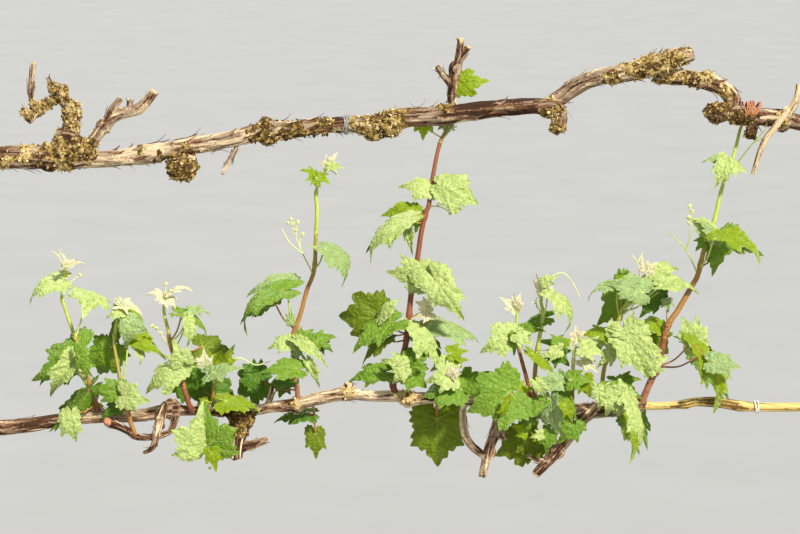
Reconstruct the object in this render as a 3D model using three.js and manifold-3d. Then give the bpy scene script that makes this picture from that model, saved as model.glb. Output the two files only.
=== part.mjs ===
// A grapevine in spring: a rooted trunk with two arms trained to one side, and young leafy shoots.
import * as THREE from "three";
import { mergeVertices } from "three/addons/utils/BufferGeometryUtils.js";
import Module from "manifold-3d";

// Sizes are millimetres, +Z is up, +X runs along the arms and -Y is the side that is looked at.
const TRUNK_HEIGHT = 1168;
const TRUNK_FOOT_RADIUS = 44;
const TRUNK_WAIST_RADIUS = 21;
const FACE_LEFT_X = 150;
const FACE_MIDDLE_Z = 1083;
const FACE_WIDTH = 800;
const FACE_HEIGHT = 534;
const EYE_DISTANCE = 3000;
const EYE_FALL_DEGREES = 9;
const PART_GAP = 0.3;
const SLIVER = 0.05;
const CORNER_SPACE = 0.012;
const SMOOTHING = 0.3;
const LEAF_SMOOTHING = 0.1;
const LEAF_THICKNESS = 1.2;
const STALK_RADIUS = 0.95;
const STALK_SAG = 0.08;
const TENDRIL_RADIUS = 0.75;
const BUD_RADIUS = 1.7;
const SMALL_KNOT = 3;
const LARGE_KNOT = 12.5;
const NUDGE_STEP = 5;
const NUDGE_TRIES = 17;

const DEGREE = Math.PI / 180;
const EYE_FALL = EYE_FALL_DEGREES * DEGREE;
const VIEWER = new THREE.Vector3(0, -1, 0);
const SKY = new THREE.Vector3(0, 0, 1);
const RIGHT = new THREE.Vector3(1, 0, 0);

const wasm = await Module();
wasm.setup();

// Seeded random numbers, the same in every run.
function seeded(seed) {
  let state = seed >>> 0;
  return () => {
    state = (state + 0x6d2b79f5) >>> 0;
    let mixed = state;
    mixed = Math.imul(mixed ^ (mixed >>> 15), mixed | 1);
    mixed ^= mixed + Math.imul(mixed ^ (mixed >>> 7), mixed | 61);
    return ((mixed ^ (mixed >>> 14)) >>> 0) / 4294967296;
  };
}

// A place given as millimetres across and down the face, and millimetres out toward the viewer.
function sighted(across, down, out) {
  const side = across - FACE_WIDTH / 2;
  const rise = FACE_HEIGHT / 2 - down;
  const reach = EYE_DISTANCE * Math.cos(EYE_FALL);
  const share = (reach - out) / (reach + rise * Math.sin(EYE_FALL));
  const height = rise * Math.cos(EYE_FALL) - EYE_DISTANCE * Math.sin(EYE_FALL);
  const middle = FACE_LEFT_X + FACE_WIDTH / 2;
  const top = FACE_MIDDLE_Z + EYE_DISTANCE * Math.sin(EYE_FALL);
  return new THREE.Vector3(middle + share * side, -out, top + share * height);
}

// A waypoint row is across, down, out and radius.
function waypoint(row) {
  const place = sighted(row[0], row[1], row[2]);
  return { place, radius: row[3] };
}

// Waypoints joined by a smooth curve, with a few stations between each two.
function smoothed(points, stations) {
  const found = [];
  for (let span = 0; span < points.length - 1; span += 1) {
    const before = points[Math.max(span - 1, 0)];
    const here = points[span];
    const next = points[span + 1];
    const after = points[Math.min(span + 2, points.length - 1)];
    for (let step = 0; step < stations; step += 1) {
      const t = step / stations;
      const place = new THREE.Vector3();
      for (const axis of ["x", "y", "z"]) {
        const p0 = before.place[axis];
        const p1 = here.place[axis];
        const p2 = next.place[axis];
        const p3 = after.place[axis];
        const bend = 2 * p0 - 5 * p1 + 4 * p2 - p3;
        const twist = 3 * (p1 - p2) + p3 - p0;
        place[axis] = 0.5 * (2 * p1 + (p2 - p0) * t + bend * t * t + twist * t * t * t);
      }
      found.push({ place, radius: here.radius + (next.radius - here.radius) * t });
    }
  }
  found.push(points[points.length - 1]);
  return found;
}

// A closed solid from corner points and triangles.
function solidFrom(corners, triangles) {
  const vertProperties = new Float32Array(corners.length * 3);
  corners.forEach((corner, index) => {
    vertProperties.set([corner.x, corner.y, corner.z], index * 3);
  });
  const mesh = new wasm.Mesh({ numProp: 3, vertProperties, triVerts: new Uint32Array(triangles.flat()) });
  mesh.merge();
  return new wasm.Manifold(mesh);
}

// A closed solid from a three.js geometry, with its doubled corners made one.
function solidOfGeometry(geometry) {
  geometry.deleteAttribute("normal");
  geometry.deleteAttribute("uv");
  const merged = mergeVertices(geometry);
  const places = merged.getAttribute("position");
  const corners = [];
  for (let index = 0; index < places.count; index += 1) {
    corners.push(new THREE.Vector3().fromBufferAttribute(places, index));
  }
  return solidFrom(corners, [Array.from(merged.getIndex().array)]);
}

// A round closed tube along stations, its section swollen by an added amount.
function tube(stations, sides, swell = 0) {
  const corners = [];
  const triangles = [];
  const count = stations.length;
  let normal = null;
  stations.forEach((station, index) => {
    const before = stations[Math.max(index - 1, 0)].place;
    const after = stations[Math.min(index + 1, count - 1)].place;
    const along = after.clone().sub(before).normalize();
    if (normal === null) {
      const helper = Math.abs(along.y) < 0.9 ? new THREE.Vector3(0, 1, 0) : new THREE.Vector3(0, 0, 1);
      normal = helper.cross(along);
    }
    normal.sub(along.clone().multiplyScalar(normal.dot(along))).normalize();
    const across = along.clone().cross(normal);
    const push = index === 0 ? -swell : index === count - 1 ? swell : 0;
    for (let side = 0; side < sides; side += 1) {
      const angle = (2 * Math.PI * side) / sides;
      const reach = station.radius + swell;
      const corner = station.place.clone();
      corner.addScaledVector(normal, reach * Math.cos(angle));
      corner.addScaledVector(across, reach * Math.sin(angle));
      corner.addScaledVector(along, push);
      corners.push(corner);
    }
  });
  for (let ring = 0; ring < count - 1; ring += 1) {
    for (let side = 0; side < sides; side += 1) {
      const a = ring * sides + side;
      const b = ring * sides + ((side + 1) % sides);
      triangles.push([a, b, b + sides], [a, b + sides, a + sides]);
    }
  }
  const last = (count - 1) * sides;
  for (let side = 1; side < sides - 1; side += 1) {
    triangles.push([0, side + 1, side]);
    triangles.push([last, last + side, last + side + 1]);
  }
  return solidFrom(corners, triangles);
}

// A lumpy closed knot, wider one way than the other.
function knot(centre, wide, tall, swell, seed) {
  const random = seeded(seed);
  const rings = wide < SMALL_KNOT ? 2 : wide < LARGE_KNOT ? 3 : 4;
  const sides = wide < SMALL_KNOT ? 4 : wide < LARGE_KNOT ? 6 : 8;
  const corners = [centre.clone().add(new THREE.Vector3(0, 0, tall + swell))];
  const triangles = [];
  for (let ring = 1; ring < rings; ring += 1) {
    const tilt = (Math.PI * ring) / rings;
    for (let side = 0; side < sides; side += 1) {
      const angle = (2 * Math.PI * side) / sides;
      const lump = 0.86 + 0.28 * random();
      const reach = wide * lump + swell;
      const x = reach * Math.sin(tilt) * Math.cos(angle);
      const y = (0.8 * wide * lump + swell) * Math.sin(tilt) * Math.sin(angle);
      const z = (tall * lump + swell) * Math.cos(tilt);
      corners.push(centre.clone().add(new THREE.Vector3(x, y, z)));
    }
  }
  corners.push(centre.clone().add(new THREE.Vector3(0, 0, -tall - swell)));
  const bottom = corners.length - 1;
  for (let side = 0; side < sides; side += 1) {
    const next = (side + 1) % sides;
    triangles.push([0, 1 + side, 1 + next]);
    for (let ring = 0; ring < rings - 2; ring += 1) {
      const a = 1 + ring * sides + side;
      const b = 1 + ring * sides + next;
      triangles.push([a, a + sides, b + sides], [a, b + sides, b]);
    }
    const low = 1 + (rings - 2) * sides;
    triangles.push([bottom, low + next, low + side]);
  }
  return solidFrom(corners, triangles);
}

// The largest piece of a solid, with sealed hollows filled and loose scraps dropped. It is looked
// for twice, because corners that only touch are told apart once the mesh is rounded.
function largest(solid) {
  let best = solid;
  for (let pass = 0; pass < 2; pass += 1) {
    const mesh = best.getMesh();
    mesh.merge();
    for (const piece of new wasm.Manifold(mesh).simplify(SLIVER).decompose()) {
      if (best === solid || piece.volume() > best.volume()) {
        best = piece;
      }
    }
    solid = best;
  }
  return best;
}

// The trunk leans a little on its way up and flares at its foot.
function trunkWaypoints() {
  const lean = [
    [0.0, 0, 0, 1.0],
    [0.02, 1, 1, 0.8],
    [0.06, 4, 3, 0.62],
    [0.2, -4, 6, 0.55],
    [0.38, -15, 5, 0.52],
    [0.55, -12, -3, 0.5],
    [0.7, 2, -5, 0.47],
    [0.85, 8, 0, 0.48],
    [0.95, 4, 0, 0.5],
    [1.0, 2, 0, 0.46],
  ];
  return lean.map(([height, x, y, width]) => {
    const radius = Math.max(width * TRUNK_FOOT_RADIUS, TRUNK_WAIST_RADIUS * 0.96);
    return { place: new THREE.Vector3(x, y, height * TRUNK_HEIGHT), radius };
  });
}

// Each limb is a name, its paths of across, down, out and radius, and its knots of
// across, down, out, half width and half height.
const LIMBS = [
  {
    name: "upper_arm_1",
    paths: [[[-152, 188, 0, 17], [-118, 174, 0, 15], [-80, 166, 0, 12.5], [-38, 160, 0, 11.5],
      [0, 157, 0, 11], [30, 157, 0, 12], [60, 158, 0, 12], [93, 159, 0, 8.5]]],
    knots: [[48, 156, 2, 14, 13], [66, 150, 3, 17, 22], [80, 152, 2, 12, 16], [70, 134, 2, 9, 12]],
  },
  {
    name: "upper_arm_2",
    paths: [[[93, 159, 0, 8.5], [120, 158, 0, 8], [146, 154, 0, 10], [181, 147, 0, 8], [215, 142, 0, 8.5],
      [243, 136, 0, 8.5]]],
    knots: [],
  },
  {
    name: "upper_arm_3",
    paths: [[[243, 136, 0, 8.5], [266, 131, 0, 9], [295, 129, 0, 8], [320, 126, 0, 7.5], [346, 124, 0, 8],
      [372, 125, 0, 9], [400, 118, 0, 10]]],
    knots: [[266, 131, 2, 11, 13], [376, 130, 2, 11, 11], [388, 126, 3, 10, 12]],
  },
  {
    name: "upper_arm_4",
    paths: [[[400, 118, 0, 10], [424, 117, 0, 10], [450, 115, 0, 10], [489, 109, 0, 8.5], [516, 107, 0, 8],
      [540, 106, 0, 8], [555, 108, 1, 7.5], [561, 118, 2, 7], [553, 133, 2, 5]]],
    knots: [[549, 109, 1, 10, 8]],
  },
  {
    name: "upper_arm_5",
    paths: [[[549, 104, -8, 7], [560, 98, -12, 8], [577, 86, -12, 8], [596, 78, -10, 7.5], [623, 73, -8, 9],
      [650, 66, -6, 10], [670, 60, -4, 9], [693, 53, -2, 7.5]]],
    knots: [[636, 70, -6, 9, 9], [660, 64, -4, 10, 9]],
  },
  {
    name: "upper_arm_6",
    paths: [[[655, 76, -12, 7], [677, 77, -14, 8], [700, 80, -14, 8], [722, 88, -14, 8], [733, 100, -12, 8],
      [730, 112, -6, 9], [747, 116, -2, 9], [766, 117, 0, 9], [785, 119, 0, 8.5], [800, 123, 0, 7.5],
      [842, 128, 0, 7.5], [898, 125, 0, 6.5], [934, 121, 0, 5]]],
    knots: [[717, 112, -4, 14, 9], [752, 130, 0, 6, 11], [702, 78, -12, 10, 8], [782, 122, 2, 9, 9]],
  },
  {
    name: "lower_arm_1",
    paths: [[[-154, 444, 0, 11], [-100, 436, 0, 9.5], [-50, 431, 0, 8.5], [20, 426, 0, 7.5], [60, 420, 0, 7],
      [100, 416, 0, 7], [140, 415, 0, 6.5], [172, 410, 0, 8]]],
    knots: [[172, 409, 0, 11, 11]],
  },
  {
    name: "lower_arm_2",
    paths: [[[172, 410, 0, 6], [200, 411, 0, 4.4], [226, 411, 0, 4.4], [257, 410, 0, 5], [270, 407, 0, 5.4],
      [296, 405, 0, 7]]],
    knots: [[296, 405, 0, 8, 9]],
  },
  {
    name: "lower_arm_3",
    paths: [[[296, 405, 0, 6.5], [312, 400, 0, 6.5], [331, 396, 0, 6], [348, 394, 0, 6.5], [372, 396, 0, 5.5],
      [398, 396, 0, 6], [407, 399, 0, 7], [432, 398, 0, 5.5], [458, 400, 0, 5], [500, 405, 0, 6.5]],
      [[348, 393, 0, 5], [349, 383, 1, 3]]],
    knots: [[407, 399, 1, 9, 8]],
  },
  {
    name: "lower_arm_4",
    paths: [[[500, 405, 0, 6.5], [520, 411, 0, 7], [550, 412, 0, 7], [590, 410, 0, 7], [620, 407, 0, 6.5],
      [643, 405, 0, 6.5]]],
    knots: [[640, 403, 0, 8, 8]],
  },
  {
    name: "lower_cane",
    paths: [[[640, 405, 0, 5], [656, 406, 0, 3.9], [676, 405, 0, 4], [686, 404, 0, 5.2], [695, 402, 0, 4.6],
      [713, 402, 0, 5.4], [728, 404, 0, 5.2], [741, 406, 0, 5.8], [757, 407, 0, 4.6], [800, 407, 0, 4.5],
      [860, 404, 0, 4.2], [930, 398, 0, 3.8], [980, 395, 0, 3]]],
    knots: [],
  },
  {
    name: "front_branch",
    paths: [[[170, 432, 8, 3], [155, 437, 12, 3.2], [137, 437, 13, 3.4], [128, 431, 14, 3.8],
      [118, 426, 14, 4], [109, 423, 14, 4.2]], [[170, 432, 8, 3], [174, 424, 4, 3.4], [176, 410, 0, 4]]],
    knots: [[109, 422, 14, 5, 5]],
  },
  {
    name: "old_spur_1",
    paths: [[[69, 140, 2, 8], [72, 122, 2, 7.5], [71, 109, 2, 7], [74, 101, 2, 6]],
      [[71, 108, 2, 6], [57, 92, 1, 5.5], [50, 84, 0, 2]],
      [[66, 98, 2, 2.5], [54, 86, 2, 2], [46, 77, 2, 1.4]],
      [[60, 98, 0, 4], [46, 104, -2, 5], [36, 112, -3, 5], [27, 121, -3, 4]],
      [[34, 114, -3, 4], [21, 110, -4, 3.6]],
      [[34, 112, -3, 3], [31, 98, -3, 2.6], [31, 85, -3, 3.4], [34, 62, -3, 2.6]]],
    knots: [[72, 112, 2, 9, 10], [62, 92, 1, 8, 8]],
  },
  {
    name: "old_spur_2",
    paths: [[[92, 143, 2, 6], [106, 124, 3, 6], [120, 114, 4, 6], [138, 109, 5, 5.5], [146, 102, 5, 5],
      [155, 91, 5, 4]], [[107, 122, 3, 4.5], [113, 108, 3, 4], [121, 98, 3, 3]],
      [[128, 110, 4, 2.5], [131, 99, 4, 1.6]]],
    knots: [[104, 126, 3, 8, 7]],
  },
  { name: "hanging_knob", paths: [[[180, 150, 0, 6], [181, 160, 2, 7]]], knots: [[181, 166, 3, 16, 12]] },
  { name: "thin_spur", paths: [[[238, 143, 0, 2.6], [230, 160, 2, 2], [222, 174, 2, 1.6]]], knots: [] },
  {
    name: "top_spur",
    paths: [[[452, 110, -4, 5], [452, 96, -6, 5], [454, 80, -5, 5], [459, 60, -4, 4.4], [461, 38, -4, 3]],
      [[451, 86, -5, 3.5], [437, 66, -4, 2]], [[459, 62, -4, 3.4], [469, 46, -4, 3]]],
    knots: [[455, 70, -4, 6, 8]],
  },
  {
    name: "dead_cane",
    paths: [[[790, 112, 9, 4], [797, 98, 8, 3.4], [799, 84, 6, 3]],
      [[788, 112, 9, 3.6], [779, 122, 11, 3.4], [763, 144, 12, 3], [753, 174, 12, 2.3]]],
    knots: [[789, 112, 8, 6, 6]],
  },
  {
    name: "lower_knob",
    paths: [[[242, 408, 0, 6], [240, 425, 1, 9], [238, 440, 2, 7], [236, 458, 2, 6]],
      [[241, 446, 2, 6], [255, 444, 2, 4], [268, 438, 2, 1.6]]],
    knots: [[242, 419, 1, 12, 11], [234, 452, 2, 8, 8]],
  },
  { name: "brown_spur", paths: [[[268, 404, 0, 3], [272, 392, 1, 2.4], [273, 386, 1, 1.4]]], knots: [] },
  {
    name: "bark_flake",
    paths: [[[166, 402, 10, 3.4], [160, 420, 12, 5], [157, 432, 17, 4], [153, 447, 18, 3],
      [143, 453, 18, 1.6]]],
    knots: [[160, 424, 13, 5, 9]],
  },
  {
    name: "stub_a",
    paths: [[[463, 402, 0, 3.6], [463, 422, 1, 4], [466, 437, 3, 4.2], [474, 448, 3, 4], [485, 457, 4, 3.4]]],
    knots: [],
  },
  {
    name: "stub_b",
    paths: [[[501, 406, 0, 5], [496, 430, 3, 6], [489, 449, 4, 5], [482, 477, 6, 3.8]],
      [[499, 420, 3, 4], [502, 432, 5, 3.6], [505, 440, 6, 3.2]]],
    knots: [[490, 452, 4, 6, 8]],
  },
  {
    name: "stub_c",
    paths: [[[597, 404, 4, 5], [588, 414, 4, 5.4], [572, 433, 2, 6], [552, 456, 0, 6.5], [535, 475, 0, 4.2]],
      [[552, 454, 0, 4], [543, 462, 1, 3], [527, 455, 2, 1.4]], [[588, 417, 4, 2.6], [622, 414, 5, 1.4]]],
    knots: [[556, 451, 0, 8, 8], [585, 416, 4, 7, 6]],
  },
];

// Each shoot is a name, its stem of across, down, out and radius, more thin stalks, buds, and leaves.
// A leaf row is its tone or those of its two halves, the height down the stem where its stalk leaves,
// the place where stalk and blade meet, the place of its tip, then the angles it faces up and to the
// side, its relative width, the angle its halves fold and the angle its midrib droops through. Where a
// leaf's side lobes can be told, their two places follow the tip instead, with how far each comes
// forward, then the droop and how large its rear lobes are.
const SHOOTS = [
  {
    name: "shoot_a",
    stem: [[99, 414, 0, 2.4], [96, 403, 4, 2.3], [92, 392, 8, 2.2], [88, 378, 9, 2.1], [80, 352, 7, 2],
      [71, 326, 6, 1.9], [65, 308, 5, 1.8], [62, 297, 5, 1.7], [64, 283, 5, 1.4], [65, 269, 5, 1.1]],
    stalks: [[[65, 269, 5], [59, 257, 6], [52, 251, 7]], [[59, 258, 6], [60, 249, 7]],
      [[63, 297, 5], [69, 284, 8], [80, 275, 9]]],
    buds: [[80, 275, 9]],
    leaves: [
      ["pale", 298, [60, 281, 12], [25, 294, 24], [38, 298, 0.8], [36, 276, -0.8], 30],
      ["pale", 338, [88, 292, 0], [86, 305, 34], [110, 308, -0.3], [68, 294, -0.6], 20],
      ["mid", 372, [80, 352, 16], [33, 382, 30], [46, 350, -0.6], [62, 386, -0.5], 20],
      ["pale", 378, [76, 360, 26], [48, 396, 32], [44, 376, 0.4], [66, 384, 0.4], 10],
      ["pale", 376, [80, 362, 24], [86, 388, 30], [74, 372, 0.3], [92, 376, 0.3], 10],
      ["mid", 380, [78, 356, 20], [94, 366, 22], [88, 349, 0], [92, 378, 0], 5],
      ["mid", 396, [88, 391, 22], [50, 432, 34], [62, 411, -0.5], [70, 430, -0.5], 20],
      ["pale", 404, [72, 414, 26], [75, 440, 32], [60, 436, 0], [82, 432, 0], 10],
      ["backlit", 409, [96, 404, -9], [86, 413, -15], 10, 0, 1.0, 0, 0],
      ["woolly", 271, [66, 267, 8], [83, 261, 13], 62, 0, 0.7, 20, 10],
      ["woolly", 270, [65, 266, 4], [65, 255, 8], 20, 40, 0.8, 30, 10],
    ],
  },
  {
    name: "shoot_b",
    stem: [[136, 436, 13, 2.3], [131, 424, 15, 2.3], [128, 412, 16, 2.2], [122, 395, 16, 2.1],
      [121, 386, 14, 2], [117, 362, 10, 1.8], [114, 342, 8, 1.6], [117, 322, 8, 1.4], [121, 309, 8, 1.2]],
    stalks: [],
    buds: [],
    leaves: [
      ["woolly", 311, [121, 306, 10], [141, 309, 16], [131, 298, -0.8], [128, 311, 0.8], 20],
      ["backlit", 312, [122, 309, 6], [145, 319, 2], [136, 309, -0.8], [134, 316, 0.5], 20],
      ["pale", 313, [122, 312, 12], [106, 316, 16], [110, 309, -0.5], [113, 320, 0.5], 20],
      ["silver", 326, [124, 319, 18], [126, 348, 24], [119, 335, 0.2], [147, 333, 0], 20, 0.6],
      ["olive", 340, [118, 328, -4], [110, 350, -8], 15, -40, 0.6, 10, 10],
      ["mid", 356, [110, 350, 0], [96, 376, -4], 20, 0, 1.0, 6, 10],
      ["mid", 396, [119, 391, 22], [93, 389, 28], [106, 378, -0.1], [102, 403, 0.2], 10],
      ["deep", 402, [122, 398, 12], [102, 418, 18], [106, 403, 0], [119, 417, 0.2], 10],
      ["pale", 392, [125, 396, 24], [147, 402, 28], [137, 384, -0.1], [134, 413, 0.2], 10],
      ["backlit", 386, [130, 344, 8], [167, 353, 6], [152, 334, -0.6], [148, 351, 0.4], 15, 0.5],
      ["pale", 386, [137, 349, 12], [141, 365, 18], 20, 50, 0.7, 10, 60],
    ],
  },
  {
    name: "shoot_c",
    stem: [[193, 412, 3, 2.7], [190, 407, 8, 2.6], [186, 395, 10, 2.5], [181, 380, 11, 2.4],
      [176, 362, 11, 2.2], [170, 343, 10, 2], [168, 330, 10, 1.8], [164, 312, 9, 1.6], [165, 298, 8, 1.3]],
    stalks: [[[169, 346, 10], [163, 337, 12], [154, 327, 14]], [[165, 300, 8], [166, 286, 8]]],
    buds: [[152, 326, 14], [157, 328, 14], [161, 333, 13], [166, 284, 8]],
    leaves: [
      ["woolly", 302, [164, 298, 9], [148, 291, 14], 62, 0, 1.0, 0, 30],
      ["woolly", 302, [166, 299, 9], [177, 306, 13], 56, 0, 1.1, 0, 30],
      ["woolly", 300, [170, 292, 8], [188, 284, 10], 72, 0, 0.6, 0, 10],
      ["mid", 342, [184, 315, 12], [213, 330, 18], [197, 314, -0.8], [192, 324, 0.8], 30, 0.9],
      ["pale", 342, [188, 321, 22], [191, 345, 24], 0, 40, 0.5, 20, 0],
      ["silver", 352, [191, 310, 2], [209, 311, 2], 60, 0, 0.7, 0, 10],
      ["olive", 352, [203, 347, -20], [235, 350, -28], 42, 0, 0.8, 0, 20],
      ["pale", 366, [181, 364, 24], [143, 386, 34], [152, 367, -0.5], [164, 396, 0.3], 15, 0.7],
      ["pale", 366, [183, 360, 20], [174, 342, 22], [190, 347, -0.3], [164, 356, 0.3], 5],
      ["woolly", 366, [205, 364, 14], [204, 351, 18], 20, 0, 1.0, 10, 0],
      ["backlit", 368, [212, 363, 6], [220, 352, 8], 10, 0, 1.0, 0, 0],
      ["deep", 378, [184, 378, -6], [206, 400, -14], 20, 0, 0.9, 0, 10],
    ],
  },
  {
    name: "shoot_d",
    stem: [[213, 409, 0, 1.8], [213, 398, 2, 1.7], [214, 386, 4, 1.5], [217, 376, 5, 1.2]],
    stalks: [[[216, 378, 5], [228, 364, 4], [240, 358, 0], [256, 365, -2], [270, 361, -4]]],
    buds: [],
    leaves: [
      ["backlit", 382, [224, 364, 8], [233, 347, 8], 10, 0, 0.8, 0, 0],
      ["silver", 384, [213, 372, 14], [241, 366, 18], [227, 361, -0.3], [225, 378, 0.4], 10],
      ["pale", 384, [221, 374, 16], [207, 367, 20], 25, 0, 1.0, 6, 0],
      ["deep", 392, [212, 388, -22], [238, 400, -28], 20, 0, 0.9, 0, 10],
      ["deep", 396, [205, 392, -12], [222, 404, -18], 25, 0, 0.9, 0, 10],
      ["backlit", 400, [227, 401, 14], [262, 404, 12], 70, 0, 0.8, 0, 15],
      ["backlit", 402, [206, 401, 8], [197, 405, 10], 10, 0, 0.9, 0, 0],
    ],
  },
  {
    name: "leaf_d_front",
    stem: [[201, 410, 3, 1.5], [202, 416, 10, 1.4], [206, 432, 14, 1.2], [209, 448, 18, 1.1]],
    stalks: [],
    buds: [[210, 468, 20], [216, 470, 20]],
    leaves: [
      ["pale mid", 446, [206, 446, 24], [203, 409, 30], 8, 0, 1.35, 18, 0],
      ["backlit", 447, [212, 452, 27], [216, 471, 27], 0, 0, 0.8, 0, 0],
    ],
  },
  {
    name: "shoot_e",
    stem: [[298, 400, 0, 2.6], [297, 389, 3, 2.5], [295, 378, 5, 2.4], [294, 362, 6, 2.4], [293, 337, 6, 2.4],
      [296, 327, 6, 2.3], [301, 312, 5, 2.2], [307, 290, 4, 2.2], [314, 270, 4, 2.2], [316, 235, 4, 2],
      [317, 210, 4, 2], [316, 194, 4, 1.8], [319, 182, 4, 1.3], [328, 166, 4, 1]],
    stalks: [[[312, 272, 4], [302, 252, 8], [294, 232, 10], [291, 221, 10]],
      [[303, 254, 8], [290, 243, 9], [282, 229, 9]], [[300, 248, 8], [300, 240, 9], [303, 235, 10]],
      [[296, 236, 10], [297, 228, 11], [298, 223, 11]], [[329, 168, 4], [338, 176, 5]],
      [[325, 172, 4], [322, 163, 4]]],
    buds: [[291, 219, 10], [288, 223, 10], [293, 224, 11], [303, 234, 10], [298, 222, 11], [296, 230, 11]],
    leaves: [
      ["backlit", 190, [315, 177, 3], [303, 168, 8], 56, 0, 1.15, 0, 30],
      ["backlit", 188, [317, 178, 5], [330, 182, 10], 50, 0, 1.2, 0, 30],
      ["woolly", 168, [328, 165, 4], [336, 154, 6], 10, 0, 0.9, 10, 0],
      ["pale", 168, [330, 166, 6], [343, 167, 8], 40, 0, 0.7, 0, 0],
      ["silver", 330, [285, 288, 10], [247, 287, 20], [269, 271, -0.5], [263, 295, 0.6], 30],
      ["mid", 330, [281, 291, 18], [231, 321, 34], [257, 293, -0.6], [252, 315, 0.6], 50, 0.9],
      ["silver", 270, [326, 250, 12], [353, 284, 24], [352, 262, -0.7], [330, 268, 0.7], 60, 0.8],
      ["silver", 328, [291, 322, 8], [290, 308, 8], 0, 0, 0.6, 0, 0],
      ["pale", 344, [290, 343, 12], [268, 346, 16], [276, 335, -0.4], [279, 352, 0.5], 15],
      ["pale", 346, [299, 342, 16], [330, 365, 24], [319, 345, -0.2], [306, 354, 0.3], 20, 0.6],
      ["silver", 352, [297, 350, 16], [297, 362, 18], 10, 0, 0.9, 0, 0],
      ["pale", 360, [308, 362, 12], [319, 386, 18], [320, 372, 0.2], [306, 370, 0.2], 10, 0.6],
      ["mid", 372, [297, 369, 18], [262, 369, 28], [279, 357, -0.5], [278, 379, 0.6], 20, 0.8],
      ["deep", 386, [290, 378, 4], [266, 383, 2], [276, 376, -0.6], [276, 389, 0.3], 5],
      ["mid", 338, [299, 339, -4], [313, 329, -8], 20, 0, 0.9, 0, 0],
      ["mid", 346, [316, 341, -10], [335, 334, -14], 40, 0, 0.9, 0, 10],
      ["deep", 350, [319, 343, -16], [334, 351, -18], 30, 0, 0.8, 0, 0],
      ["deep", 386, [284, 384, -8], [279, 398, -10], 10, 0, 1.0, 0, 0],
      ["deep", 390, [258, 381, -16], [234, 394, -24], 16, 0, 1.1, 0, 10],
      ["deep", 390, [259, 379, -14], [243, 364, -20], 16, 0, 1.1, 0, 0],
    ],
  },
  {
    name: "leaf_hang_e",
    stem: [[312, 402, -2, 1.5], [314, 412, -12, 1.3], [315, 430, -18, 1.1]],
    stalks: [],
    buds: [],
    leaves: [
      ["olive", 428, [315, 434, -20], [316, 458, -18], [305, 447, 0], [326, 449, 0], 5],
      ["deep", 414, [306, 413, -16], [274, 415, -18], [290, 408, -0.5], [290, 422, 0.5], 5],
    ],
  },
  {
    name: "shoot_f",
    stem: [[396, 393, 2, 3.2], [393, 384, 3, 3.1], [399, 368, 5, 3], [405, 347, 6, 3], [408, 328, 6, 2.9],
      [411, 296, 4, 2.8], [418, 255, 2, 2.6], [421, 234, 1, 2.5], [426, 212, 0, 2.5], [429, 204, 0, 2.4],
      [434, 170, -6, 2.2], [440, 143, -12, 1.9], [447, 128, -17, 1.6], [451, 110, -22, 1.5],
      [454, 92, -22, 1.4], [455, 86, -20, 1.2]],
    stalks: [[[429, 207, 0], [440, 205, 4], [451, 202, 5]], [[434, 206, 3], [443, 208, 5], [450, 213, 6]],
      [[437, 205, 4], [442, 199, 5], [444, 195, 5]], [[441, 142, -12], [449, 132, -14], [457, 126, -16]]],
    buds: [[451, 202, 5], [450, 213, 6], [444, 194, 5], [446, 198, 5]],
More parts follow.
